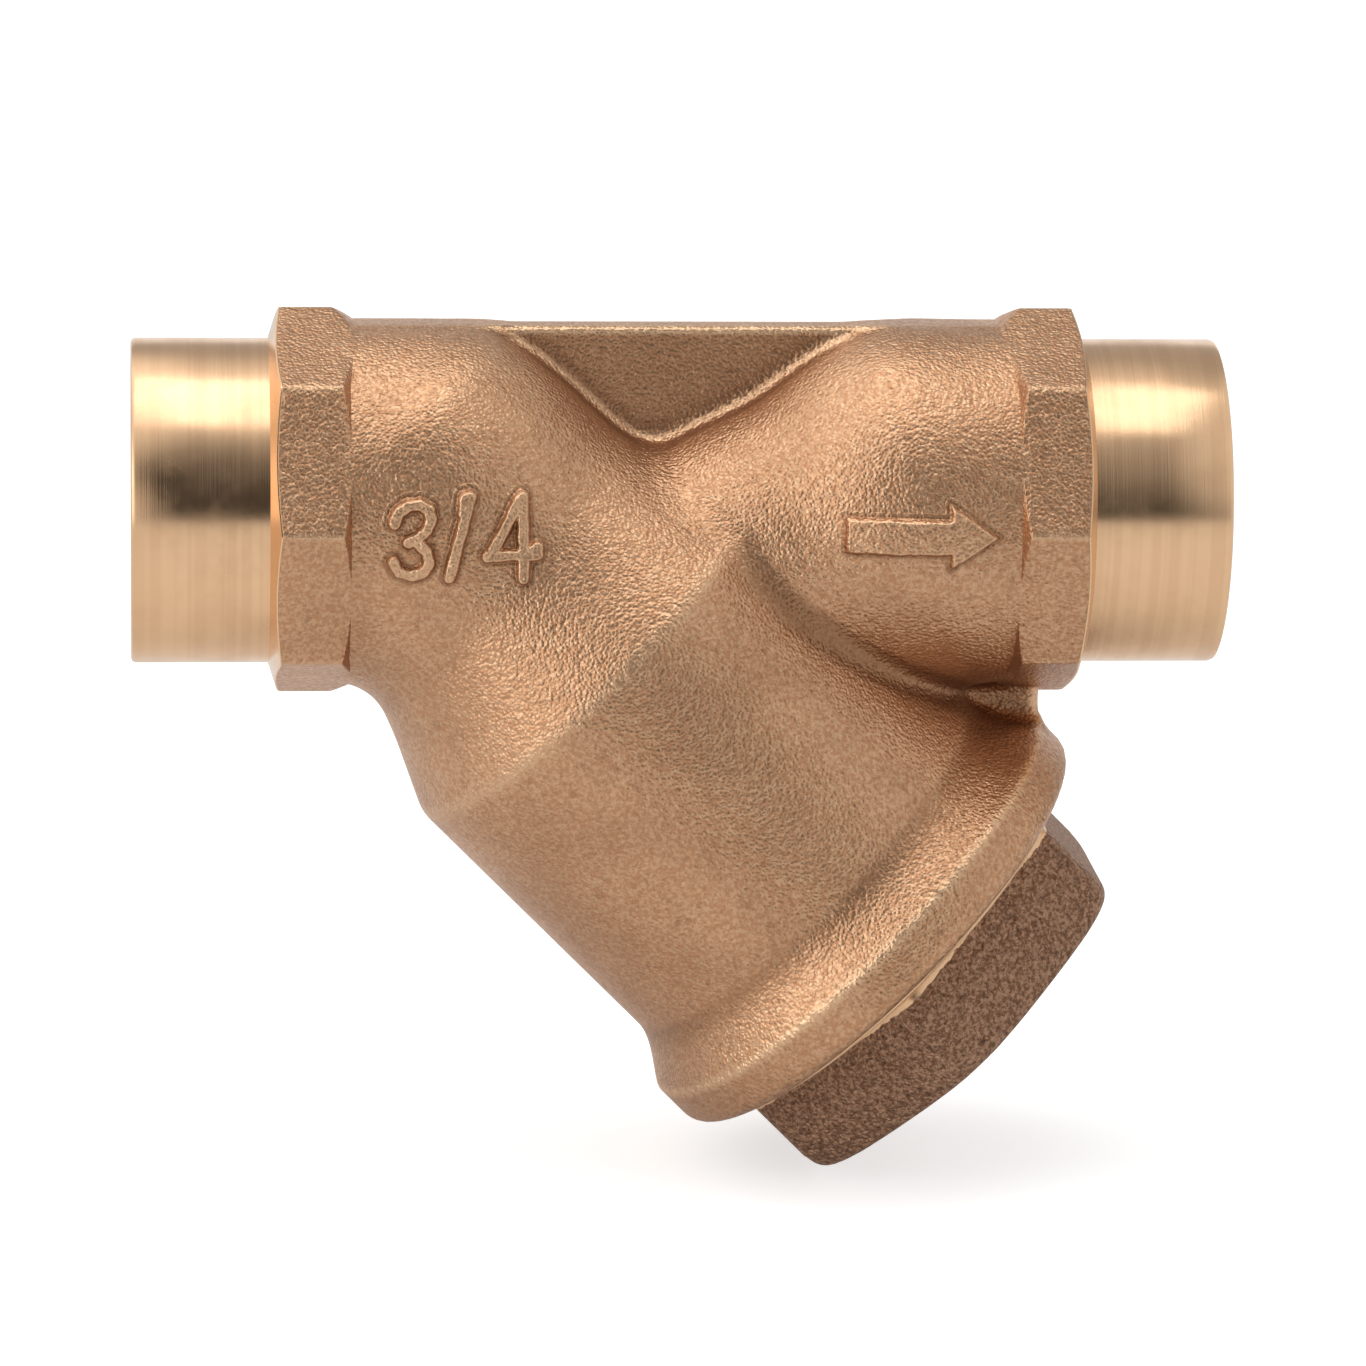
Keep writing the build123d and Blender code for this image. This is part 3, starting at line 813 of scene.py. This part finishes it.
class STRAINER_OT_casting(bpy.types.Operator):
    """Body casting: arms, branch, flange, web and rib"""

    bl_idname = "strainer.casting"
    bl_label = "Casting"

    def execute(self, context):
        """Surface where the larger of the outside distance and the hollow's negative is zero."""
        s = sizes()
        low = np.array([s.tail_length + s.collar_cone + 0.3, -s.flange_radius - GRID_ROOM, GRID_BOTTOM])
        rim = CROSSING[0] + AXIS[0] * (s.flange_face + s.flange_radius)
        high = np.array([rim + GRID_ROOM, s.flange_radius + GRID_ROOM, s.run_radius + 1.0])

        def field(x, y, z):
            return np.maximum(outside(x, y, z, s), -inside(x, y, z, s))

        points, quads = field_surface(field, low, high, s.mesh_step)
        piece = make_object("casting", points, quads, cast_material(), None)
        self.wear_highlight_and_shade(piece, points, s)
        normals = slope_of(field, points)
        normals /= np.linalg.norm(normals, axis=1, keepdims=True)
        piece.data.normals_split_custom_set_from_vertices(normals.astype(np.float32))
        ride(piece, "strainer_body", "cast_bronze", "body")
        return {"FINISHED"}

    def wear_highlight_and_shade(self, piece, points, s):
        """Worn edges with a painted highlight, and painted shade in hollows, from how the outside distance bends:
        its six neighbours' mean less the middle, over a share of the reach squared. The flange's rim band gets
        none, a painted highlight runs along the fillet round the web, and the web itself gets painted shade."""
        middle = outside(*points.T, s)

        def bend(reach):
            shifts = (*(reach * np.eye(3)), *(-reach * np.eye(3)))
            around = sum(outside(*(points + shift).T, s) for shift in shifts) / 6
            return (around - middle) * 6 / reach ** 2

        near, wide = bend(0.7), bend(3.0)
        height = points[:, 2]
        on_skin = np.abs(middle) < 0.2
        rim_band = np.clip((branch_place(*points.T)[0] - s.flange_face + 2.9) / 0.8, 0, 1)
        # Worn edges and a painted highlight: brighter where the surface bends outwards, except on the flange's
        # rim band.
        wear_and_highlight = np.clip((near - 0.15) / 0.5, 0, 1) * on_skin * (1 - rim_band)
        beside = arms_and_branch(*points.T, s) - web(*points.T, s)
        # Painted highlight: a bright line along the fillet where the arms meet the web.
        seam = np.exp(-((beside + 0.25) / 0.4) ** 2) * (np.abs(points[:, 1]) < 3.2) * (height < 14.2) * on_skin
        set_attribute(piece, "wear_and_highlight", np.maximum(wear_and_highlight, 0.9 * seam))
        # Painted shade: darker in tight and wide hollows and over the web, and a middling painted shade off the
        # skin.
        painted_shade = np.clip((-near - 0.02) / 0.45, 0, 1) + 0.9 * np.clip((-wide - 0.10) / 0.22, 0, 1)
        painted_shade += 0.65 * (beside > 0.5) * (height < s.web_top - 0.3)
        set_attribute(piece, "painted_shade", np.where(on_skin, np.clip(painted_shade * (1 - seam), 0, 1), 0.5))


# Number of flats, a flat's distance as a share of the corners' radius, hidden radii inside the run, and how
# much shorter the slope is at the sides.
FLATS, FLAT_SHARE = 8, 0.9247
HIDDEN_RADII = (14.2, 12.9, 12.9)
SIDE_SHORTER = 1.35


class STRAINER_OT_octagons(bpy.types.Operator):
    """Cast octagons behind the tails, with their turned outer cones"""

    bl_idname = "strainer.octagons"
    bl_label = "Octagons"

    def execute(self, context):
        """Rings of points, close together at the corners: up the cone to the octagon's own radius, along
        the flats, and down a slope that ends inside the run, shorter at the sides than above and below. The
        octagon's radius is its flats' distance over the cosine of the turn from each flat's middle, with
        rounded corners."""
        s = sizes()
        per_flat = 24
        share = np.sin(np.pi * np.arange(-per_flat // 2, per_flat // 2) / per_flat) * np.pi / FLATS
        middles = np.pi / FLATS * (1 + 2 * np.arange(FLATS))
        angles = (middles[:, None] + share[None, :]).reshape(1, -1)
        flat = s.collar_radius * FLAT_SHARE / np.cos(np.tile(share, FLATS))
        octagon = blend(flat, s.collar_radius - 0.02, 0.16)[None, :]
        low = s.tail_radius - 0.2
        up = np.array([0.0, 0.25, 0.5, 0.75, 0.93, 0.985, 1.0])[:, None]
        cone_radius = low + (octagon - low) * np.minimum(up, 0.985) + 0.02 * (up == 1.0)
        cone_rise = s.collar_cone / (s.collar_radius - s.tail_radius)
        cone_along = s.tail_length + cone_rise * (low + (octagon - low) * up - s.tail_radius)
        cone_along = cone_along + 0.12 * (up == 1.0)
        down = np.concatenate([np.linspace(0, 1, 11), [1.15, 1.4]])[:, None]
        fall = s.collar_radius - s.run_radius + 0.06
        slope = blend(octagon - 0.06 * np.clip(down * 2, 0, 1), s.collar_radius + 0.02 - fall * down, 0.12)
        radius = [cone_radius, np.repeat(octagon, 8, 0), slope]
        radius = np.concatenate(radius + [np.full_like(octagon, hidden) for hidden in HIDDEN_RADII])
        sideways = 1 - np.clip(np.abs(np.cos(angles)) * 4 - 3, 0, 1)
        slope_length = s.collar_slope - SIDE_SHORTER * sideways
        collar_end = s.tail_length + s.collar_cone + s.collar_width
        for name, place, longer in (("inlet_octagon", on_inlet, 0.75), ("outlet_octagon", on_outlet, 0.5)):
            end = collar_end + longer * sideways
            flats_along = cone_along[-1:] + (end - 0.1 - cone_along[-1:]) * np.linspace(0.05, 1, 8)[:, None]
            hidden_along = np.array([collar_end + 2.9, collar_end + 2.9, s.tail_length + 0.2])[:, None]
            hidden_along = np.broadcast_to(hidden_along, (3, angles.size))
            along = np.concatenate([cone_along, flats_along, end + slope_length * down, hidden_along])
            points = place(radius, angles, along).reshape(-1, 3)
            piece = make_object(name, points, wrapped_quads(*radius.shape), cast_material(), 0.28)
            # Worn corners with a painted highlight: brighter along the octagon's rounded corners.
            ridge = np.clip(1 - (s.collar_radius - radius) / 0.16, 0, 1) * (along > s.tail_length + 0.5)
            set_attribute(piece, "wear_and_highlight", 0.85 * ridge)
            set_attribute(piece, "painted_shade", np.zeros(radius.shape))
            ride(piece, "strainer_body", "cast_bronze", "body")
        return {"FINISHED"}


class STRAINER_OT_tails(bpy.types.Operator):
    """Turned solder tails with their cups and tube stops"""

    bl_idname = "strainer.tails"
    bl_label = "Solder tails"

    def execute(self, context):
        """Profile of a tail carried round the axis of the run: chamfered mouth, cup, tube stop, hidden
        root."""
        s = sizes()
        outer, root, bore = s.tail_radius, CUP_DEPTH + 2.2, s.waterway_radius - 0.05
        profile = [
            (CUP_RADIUS, 0.5), (CUP_RADIUS + 0.45, 0.0), (outer - 0.4, 0.0), (outer - 0.12, 0.1), (outer, 0.4),
            (outer, s.tail_length * 0.5), (outer, s.tail_length + 0.6), (outer - 0.5, s.tail_length + 0.8),
            (outer - 0.5, root), (bore, root), (bore, CUP_DEPTH + 0.3), (bore + 0.3, CUP_DEPTH),
            (CUP_RADIUS, CUP_DEPTH),
        ]
        material = turned_material("Turned tail", False)
        for name, place in (("inlet_tail", on_inlet), ("outlet_tail", on_outlet)):
            ride(turned(name, profile, place, material), "strainer_body", "cast_bronze", "body")
        return {"FINISHED"}


def threaded_radius(mean, angles, along, fade_from, fade_to):
    """Radius of a thread: a wave of the distance along in pitches less the turn, clipped flat at crest and
    root, and fading out at one end."""
    phase = (along / PITCH - angles / (2 * np.pi)) % 1.0
    wave = np.clip((np.abs(phase - 0.5) * 4 - 1) * 1.25, -1, 0.9)
    fade = np.clip((along - fade_from) / (fade_to - fade_from), 0, 1)
    return mean + THREAD_DEPTH * wave * fade


class STRAINER_OT_mouth(bpy.types.Operator):
    """Turned mouth of the branch: cap thread and gasket recess"""

    bl_idname = "strainer.mouth"
    bl_label = "Branch mouth"

    def execute(self, context):
        """Rows of rings from the recess wall, over its floor, down the thread with its chamfered lead, and
        back behind it."""
        s = sizes()
        sides, floor = 160, CAP_SEAT - GASKET_THICKNESS
        start, mean = floor - s.thread_length, s.thread_radius + THREAD_PLAY
        angles = np.linspace(0, 2 * np.pi, sides, endpoint=False)[None, :]
        bore = np.arange(floor - 0.4, start, -PITCH / 9)[:, None]
        thread = threaded_radius(mean, angles, bore, start, start + 0.8)
        thread = np.maximum(thread, mean + 0.6 * np.clip((bore - floor + 1.3) / 1.3, 0, 1))
        recess = [(20.9, floor - 1.0), (20.9, floor), (20.55, floor), (18.45, floor), (18.2, floor - 0.15)]
        back = [(17.7, start), (19.15, start), (19.15, floor - 1.0)]
        parts = [even_rings(recess, sides), (thread, np.repeat(bore, sides, 1)), even_rings(back, sides)]
        radius, along = (np.concatenate(rows) for rows in zip(*parts))
        points = on_branch(radius, angles, along).reshape(-1, 3)
        material = turned_material("Turned mouth", True, 0.26)
        piece = make_object("branch_mouth", points, wrapped_quads(*radius.shape), material, 0.5)
        ride(piece, "strainer_body", "cast_bronze", "body")
        return {"FINISHED"}


# The size mark's strokes, as lines of points (x, z) from its middle, then its place and its strokes' width, and
# the arrow's height and outline.
THREE = (
    ((-5.78, 1.45), (-5.40, 2.35), (-4.60, 2.92), (-3.65, 2.98), (-2.95, 2.55), (-2.76, 1.80), (-3.10, 0.92),
     (-3.80, 0.28), (-4.60, -0.10)),
    ((-3.95, 0.02), (-3.10, -0.85), (-2.85, -1.80), (-3.35, -2.60), (-4.40, -2.92), (-5.35, -2.62),
     (-5.80, -1.75)),
)
SLASH = (((0.45, 3.55), (-0.10, 1.45), (-1.25, -3.05)), ((0.05, 3.5), (-0.15, 2.3)))
FOUR = (
    ((4.80, 3.42), (4.80, -3.10)), ((4.45, 3.10), (2.25, -0.95)), ((1.85, -1.28), (5.95, -1.15)),
    ((5.6, -0.85), (6.0, -0.6)),
)
SIZE_MARK_X, SIZE_MARK_Z, SIZE_MARK_STROKE = 27.1, -0.45, 1.12
ARROW_Z = -0.2
ARROW = ((58.35, -1.5), (66.85, -1.5), (66.85, -2.75), (70.95, 0.0), (66.85, 2.75), (66.85, 1.5), (58.35, 1.5))


class STRAINER_OT_marks(bpy.types.Operator):
    """Raised cast marks: the size and the flow arrow"""

    bl_idname = "strainer.marks"
    bl_label = "Cast marks"

    def execute(self, context):
        """Sheets that follow the casting, raised where they lie inside a stroke or the arrow's outline."""
        s = sizes()

        def numerals(x, z):
            lines = (*THREE, *SLASH, *FOUR)
            strokes = [line_distance(x - SIZE_MARK_X, z - SIZE_MARK_Z, line) for line in lines]
            return np.minimum.reduce(strokes) - SIZE_MARK_STROKE / 2

        def arrow(x, z):
            return inside_outline(x, z - ARROW_Z, ARROW)

        raised_mark("size_mark", numerals, (20.0, -5.1), (34.6, 4.6), 0.085, 0.4, s)
        raised_mark("flow_arrow", arrow, (57.3, -4.0), (72.0, 3.6), 0.09, 0.1, s)
        return {"FINISHED"}


CAP_ROUND = 2.8


class STRAINER_OT_cap(bpy.types.Operator):
    """Retainer cap: hexagon, collar, threaded spigot and hollow"""

    bl_idname = "strainer.cap"
    bl_label = "Cap"

    def execute(self, context):
        """Rings from the hollow's floor, out over the spigot's end, up the thread and collar, over the
        hexagon and to its pole. The hexagon's radius is its flats' distance over a high power mean of the
        cosines of the turns from each flat's middle, and a quarter circle cuts its outer corners."""
        s = sizes()
        sides, power = 240, 34.0
        angles = np.linspace(0, 2 * np.pi, sides, endpoint=False)[None, :]
        head = CAP_SEAT + COLLAR_THICKNESS
        end, spigot = head + s.hex_height, CAP_SEAT - s.thread_length
        bottom, seat, root = end - HEAD_THICKNESS, SCREEN_RADIUS + 0.65, s.thread_radius - 0.8
        flats = [np.maximum(np.cos(angles - k * np.pi / 3), 0) ** power for k in range(6)]
        hexagon = s.hex_flats / 2 / sum(flats) ** (1 / power)
        corner = s.hex_flats / 2 / math.cos(math.pi / 6)
        inner = [(0.0, bottom), (seat * 0.5, bottom), (seat - 0.2, bottom), (seat, bottom - 0.3),
                 (seat, bottom - 4.8), (14.6, bottom - 6.55), (14.6, spigot + 0.3), (14.85, spigot),
                 (root - 0.15, spigot), (root, spigot + 0.05)]
        climb = np.arange(spigot + 0.2, CAP_SEAT - 0.9, PITCH / 9)[:, None]
        thread = threaded_radius(s.thread_radius, angles, climb, spigot + 0.2, spigot + 1.2)
        thread = np.minimum(thread, root + (climb - spigot) * 1.1)
        collar = [(17.0, CAP_SEAT - 0.8), (17.0, CAP_SEAT - 0.1), (17.2, CAP_SEAT), (20.1, CAP_SEAT),
                  (20.3, CAP_SEAT + 0.15), (20.3, head - 0.12), (20.18, head)]
        flank = head + 0.02 + (end - CAP_ROUND - head) * np.linspace(0, 1, 15)[:, None]
        under = np.clip((flank - head) / 0.35, 0, 1)
        side = np.minimum(hexagon, corner - 0.25) - 0.25 * (1 - under) ** 2
        turn = np.linspace(0, np.pi / 2, 12)[1:, None]
        dome = np.broadcast_to(corner - 3.2 + 3.2 * np.cos(turn), (len(turn), sides))
        rounded = blend(hexagon - 0.81 * (1 - np.cos(turn)), dome, 1.2)
        dome_along = end - CAP_ROUND + (CAP_ROUND - 0.12) * np.sin(turn)
        face = [(0.86, 0.02), (0.6, 0.08), (0.3, 0.11), (0.0, 0.12)]
        shares, rises = np.array(face).T[:, :, None]
        threads = (thread, np.repeat(climb, sides, 1))
        turned_parts = [even_rings(inner, sides), threads, even_rings(collar, sides)]
        head_parts = [(side, np.repeat(flank, sides, 1)), (rounded, np.repeat(dome_along, sides, 1)),
                      (rounded[-1:] * shares, np.repeat(end - 0.12 + rises, sides, 1))]
        radius, along = (np.concatenate(rows) for rows in zip(*turned_parts, *head_parts))
        points = on_branch(radius, angles, along).reshape(-1, 3)
        piece = make_object("hex_cap", points, wrapped_quads(*radius.shape, False), cap_material(), 0.55)
        cast = np.zeros(radius.shape)
        cast[sum(len(part[0]) for part in turned_parts):] = 1.0
        set_attribute(piece, "cast_skin", cast)
        ride(piece, "cap", "cap_bronze", "retainer_cap")
        return {"FINISHED"}


class STRAINER_OT_gasket(bpy.types.Operator):
    """Flat gasket between the cap's collar and the recess"""

    bl_idname = "strainer.gasket"
    bl_label = "Gasket"

    def execute(self, context):
        """Rectangle with softened corners carried round the branch axis."""
        low, high = CAP_SEAT - GASKET_THICKNESS, CAP_SEAT
        profile = [(18.2, low + 0.12), (18.32, low), (20.08, low), (20.2, low + 0.12), (20.2, high - 0.12),
                   (20.08, high), (18.32, high), (18.2, high - 0.12)]
        ride(turned("flat_gasket", profile, on_branch, gasket_material()), "gasket", "gasket", "cap_gasket")
        return {"FINISHED"}


# ---------------------------------------------------------------- operators: screen
# Room from the cloth's ends to its last hoops, how far strips reach into the cloth, and the sizes of bands,
# seam and spot welds.
HOOP_MARGIN = 0.4
STRIP_LAP = 0.02
BAND_THICKNESS = 0.4
SEAM_WIDTH, SEAM_THICKNESS = 5.0, 0.3
WELD_SPACING, WELD_RADIUS = 5.0, 0.55


def swept_wires(name, centres, sides_a, sides_b, radius, material, closed):
    """Round wires: for each wire, a ring of four points carried along its line of centres. Open ones end in
    a ring drawn together."""
    turns = np.pi / 2 * np.arange(4) + np.pi / 4
    thin = np.full(centres.shape[1], radius)
    if not closed:
        thin[[0, -1]] = 1e-4
    ring = np.cos(turns)[:, None] * sides_a[..., None, :] + np.sin(turns)[:, None] * sides_b[..., None, :]
    points = centres[..., None, :] + thin[None, :, None, None] * ring
    wires, stations = centres.shape[:2]
    quads = wrapped_quads(stations, 4, closed)
    quads = (quads[None] + (np.arange(wires) * stations * 4)[:, None, None]).reshape(-1, 4)
    return make_object(name, points.reshape(-1, 3), quads, material, None)


class STRAINER_OT_screen(bpy.types.Operator):
    """Wire screen: woven cloth, end bands and the lapped seam"""

    bl_idname = "strainer.screen"
    bl_label = "Screen"

    def execute(self, context):
        """Lengthwise wires wave out and in past the hoops, each the other way from its neighbour, and the
        hoops wave the other way round between them."""
        s = sizes()
        start, end = SCREEN_START, CAP_SEAT + COLLAR_THICKNESS + s.hex_height - HEAD_THICKNESS
        middle, wave = SCREEN_RADIUS - s.wire, s.wire / 2
        around = 2 * round(np.pi * middle / s.wire_spacing)
        span = end - start - 2 * HOOP_MARGIN
        hoops = round(span / s.wire_spacing)
        level = start + HOOP_MARGIN + np.arange(hoops + 1) * span / hoops
        angle = np.arange(around)[:, None] * 2 * np.pi / around
        step = np.arange(2 * hoops + 1)[None, :]
        along = np.interp(step / 2, np.arange(hoops + 1), level)
        sign = np.where(np.arange(around) % 2, -1, 1)[:, None]
        lengthwise = on_branch(middle + wave * np.cos(np.pi * step / 2) * sign, angle, along)
        outwards = on_branch(1.0, angle, np.zeros_like(along)) - CROSSING
        sideways = on_branch(1.0, angle + np.pi / 2, np.zeros_like(along)) - CROSSING
        wire = steel_material("Screen wire", False)
        wires = swept_wires("lengthwise_wires", lengthwise, outwards, sideways, wave, wire, False)
        step = np.arange(2 * around)[None, :]
        sign = np.where(np.arange(hoops + 1) % 2, 1, -1)[:, None]
        level = level[:, None]
        rings = on_branch(middle + wave * sign * np.cos(np.pi * step / 2), step * np.pi / around, level)
        outwards = on_branch(1.0, step * np.pi / around, np.zeros_like(level)) - CROSSING
        upwards = np.broadcast_to(AXIS, rings.shape)
        hoop_wires = swept_wires("hoop_wires", rings, outwards, upwards, wave, wire, True)
        for piece in (wires, hoop_wires):
            ride(piece, "screen", "screen_wire", "screen_cloth")
        strip = steel_material("Screen strip", True)
        for name, low, cad in (("upper_band", start, "screen_top_band"),
                               ("lower_band", end - BAND_WIDTH, "screen_bottom_band")):
            high, inner, outer = low + BAND_WIDTH, SCREEN_RADIUS - STRIP_LAP, SCREEN_RADIUS + BAND_THICKNESS
            profile = [(inner, low + 0.1), (inner + 0.1, low), (outer - 0.15, low), (outer, low + 0.15),
                       (outer, low + 1.6), (outer - 0.06, low + 2.0), (outer, low + 2.4),
                       (outer, high - 0.15), (outer - 0.15, high), (inner + 0.1, high), (inner, high - 0.1)]
            band = turned(name, profile, on_branch, strip, 144, 0.9)
            set_attribute(band, "weld", np.zeros(len(band.data.vertices)))
            ride(band, "screen", "screen_strip", cad)
        seam = self.seam(strip, start + BAND_WIDTH, end - BAND_WIDTH)
        ride(seam, "screen", "screen_strip", "screen_seam")
        return {"FINISHED"}

    def seam(self, material, low, high):
        """Strip bent round the cloth, as a grid of turn and distance along: its outer side dips at a row of
        spot welds, and a flat inner side closes it."""
        half = SEAM_WIDTH / 2 / SCREEN_RADIUS
        turn, along = np.meshgrid(np.linspace(-half, half, 33), np.linspace(low, high, 241), indexing="ij")
        spot = (((along - low) / WELD_SPACING) % 1.0 - 0.5) * WELD_SPACING
        near = np.exp(-(spot ** 2 + (turn * SCREEN_RADIUS) ** 2) / WELD_RADIUS ** 2)
        lip = np.clip((np.abs(turn) - half + 0.03) / 0.03, 0, 1)
        outer = SCREEN_RADIUS + SEAM_THICKNESS - 0.12 * near - 0.12 * lip ** 2
        layers = (outer, SCREEN_RADIUS - STRIP_LAP)
        shell = [on_branch(radius, np.pi + turn, along).reshape(-1, 3) for radius in layers]
        piece = make_object("lap_seam", np.concatenate(shell), sheet_quads(*turn.shape), material, 0.9)
        set_attribute(piece, "weld", np.stack([near, np.zeros(near.shape)]))
        return piece


# ---------------------------------------------------------------- stage
# Studio glows: where each is, the cosines from its middle where it has faded out and where it is full, and its
# strength.
GLOWS = (
    ((-0.60, 0.0, 0.80), 0.50, 0.95, 1.05),
    ((-0.86, -0.50, -0.02), 0.66, 0.96, 1.9),
    ((0.0, 1.0, 0.50), 0.20, 0.80, 0.45),
    ((0.80, -0.35, 0.48), 0.45, 0.95, 0.85),
)
# Azimuths and elevations of the camera's place and aim in degrees, its distance in metres and its lens.
CAMERA_DISTANCE = 0.617963
CAMERA_PLACE = (-4.3039, 10.7753)
CAMERA_AIM = (-4.3976, 12.1912)
CAMERA_ROLL = 0.8217
CAMERA_LENS = 194.86


def direction(azimuth, elevation):
    """Unit vector from the object towards a viewer at this azimuth and elevation in degrees; 0, 0 is the
    front."""
    a, e = math.radians(azimuth), math.radians(elevation)
    return Vector((math.sin(a) * math.cos(e), -math.cos(a) * math.cos(e), math.sin(e)))


def add_light(name, size, power, place, aim):
    """Rectangular softbox at a place, facing an aim."""
    data = bpy.data.lights.new(name, "AREA")
    data.shape, data.size, data.size_y, data.energy = "RECTANGLE", *size, power
    lamp = bpy.data.objects.new(name, data)
    lamp.location = place
    lamp.rotation_euler = (Vector(place) - Vector(aim)).to_track_quat("Z", "Y").to_euler()
    bpy.context.scene.collection.objects.link(lamp)


def mirrored_ray(tree, path):
    """One for a ray that metal or glass has sent on."""
    return maths(tree, "MAXIMUM", path["Is Glossy Ray"], path["Is Transmission Ray"])


class STRAINER_OT_stage(bpy.types.Operator):
    """Camera, soft studio light, pale surroundings and floor"""

    bl_idname = "strainer.stage"
    bl_label = "Stage"

    def execute(self, context):
        scene = context.scene
        scene.view_settings.view_transform = "Standard"
        centre = Vector((RUN_LENGTH / 2 * MM, 0, 0))
        self.camera(scene, centre)
        add_light("overhead_softbox", (0.40, 0.30), 0.5, (0.03, -0.05, 0.42), centre)
        self.surroundings(scene)
        self.floor_sheet()
        return {"FINISHED"}

    def camera(self, scene, centre):
        """Long lens in front and a little above, turned slightly about its own axis."""
        data = bpy.data.cameras.new("camera")
        data.lens, data.sensor_width, data.clip_start = CAMERA_LENS, 36.0, 0.01
        camera = bpy.data.objects.new("camera", data)
        back = direction(*CAMERA_AIM)
        azimuth = math.radians(CAMERA_AIM[0])
        right = Vector((math.cos(azimuth), math.sin(azimuth), 0))
        turn = Matrix((right, back.cross(right), back)).transposed().to_4x4()
        turn = turn @ Matrix.Rotation(math.radians(CAMERA_ROLL), 4, "Z")
        camera.matrix_world = Matrix.Translation(centre + CAMERA_DISTANCE * direction(*CAMERA_PLACE)) @ turn
        scene.collection.objects.link(camera)
        scene.camera = camera

    def surroundings(self, scene):
        """White where the camera looks. For reflections and light, soft glows that stand for the walls and
        ceiling of a studio, each fading out with the angle from its middle, and almost nothing in front."""
        world = bpy.data.worlds.new("studio")
        scene.world = world
        world.use_nodes = True
        tree = world.node_tree
        tree.nodes.clear()
        way = tree.nodes.new("ShaderNodeTexCoord").outputs["Generated"]
        path = node(tree, "LightPath").outputs
        strength = 0.0
        for middle, far, near, power in GLOWS:
            cosine = dot_product(tree, way, Vector(middle).normalized())
            strength = maths(tree, "ADD", strength, spread(tree, cosine, far, near, 0.0, power))
        mirrored = mirrored_ray(tree, path)
        split = node(tree, "SeparateXYZ", {0: way}).outputs
        behind = times(tree, spread(tree, split[1], 0.5, 0.9), spread(tree, split[2], 0.5, 0.25))
        strength = maths(tree, "MAXIMUM", strength, times(tree, mirrored, behind))
        strength = maths(tree, "MAXIMUM", strength, path["Is Camera Ray"])
        light = node(tree, "Background", {"Color": (1.0, 1.0, 1.0, 1.0), "Strength": strength}).outputs[0]
        tree.links.new(light, tree.nodes.new("ShaderNodeOutputWorld").inputs[0])

    def floor_sheet(self):
        """Pale floor just under the lowest point: a grid whose height is level and falls away at its
        rim."""
        low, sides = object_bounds()[0][2] / MM - 0.6, 96
        ring = np.array([0.0, 60, 120, 240, 480, 900, 1400])[:, None]
        angle = np.linspace(0, 2 * np.pi, sides, endpoint=False)[None, :]
        drop = 40.0 * np.clip((ring - 900) / 500, 0, 1) ** 2
        x, y, z = np.broadcast_arrays(45 + ring * np.cos(angle), ring * np.sin(angle), low - drop)
        material, tree, shader, place = new_material("Pale floor")
        cloud = spread(tree, noise(tree, place, 9.0, 2.0), 0.3, 0.7, 0.0, 0.03)
        tint = mixed(tree, cloud, finish().floor, (0.55, 0.55, 0.55))
        tree.links.new(tint, shader.inputs["Base Color"])
        shader.inputs["Roughness"].default_value = 0.9
        path = node(tree, "LightPath").outputs
        seen = maths(tree, "MAXIMUM", path["Is Camera Ray"], times(tree, mirrored_ray(tree, path), 0.25))
        shader.inputs["Emission Color"].default_value = (1.0, 1.0, 1.0, 1.0)
        tree.links.new(times(tree, seen, 0.62), shader.inputs["Emission Strength"])
        points = np.stack([x, y, z], -1).reshape(-1, 3)
        floor = make_object("floor", points, wrapped_quads(len(ring), sides, False), material, None)
        if floor.data.polygons[4 * sides].normal.z < 0:
            floor.data.flip_normals()
        floor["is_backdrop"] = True


OPERATORS = (
    STRAINER_OT_casting, STRAINER_OT_octagons, STRAINER_OT_tails, STRAINER_OT_mouth, STRAINER_OT_marks,
    STRAINER_OT_cap, STRAINER_OT_gasket, STRAINER_OT_screen, STRAINER_OT_stage,
)


class STRAINER_PT_panel(bpy.types.Panel):
    """Sidebar panel with the strainer's sizes, finishes and pieces"""

    bl_idname = "STRAINER_PT_panel"
    bl_label = "Y strainer"
    bl_space_type = "VIEW_3D"
    bl_region_type = "UI"
    bl_category = "Strainer"

    def draw(self, context):
        for group in (context.scene.strainer_sizes, context.scene.strainer_finish):
            box = self.layout.box()
            for key in group.__annotations__:
                box.prop(group, key)
        for operator in OPERATORS:
            self.layout.operator(operator.bl_idname)


CLASSES = (StrainerSizes, StrainerFinish, *OPERATORS, STRAINER_PT_panel)


def register():
    """Adds the classes, and the sizes and finishes to the scene."""
    for item in CLASSES:
        bpy.utils.register_class(item)
    bpy.types.Scene.strainer_sizes = PointerProperty(type=StrainerSizes)
    bpy.types.Scene.strainer_finish = PointerProperty(type=StrainerFinish)


def unregister():
    """Takes away what register added."""
    del bpy.types.Scene.strainer_finish
    del bpy.types.Scene.strainer_sizes
    for item in reversed(CLASSES):
        bpy.utils.unregister_class(item)


def main():
    """Makes every piece and the stage."""
    register()
    for operator in OPERATORS:
        group, name = operator.bl_idname.split(".")
        getattr(getattr(bpy.ops, group), name)()


if __name__ == "__main__":
    main()
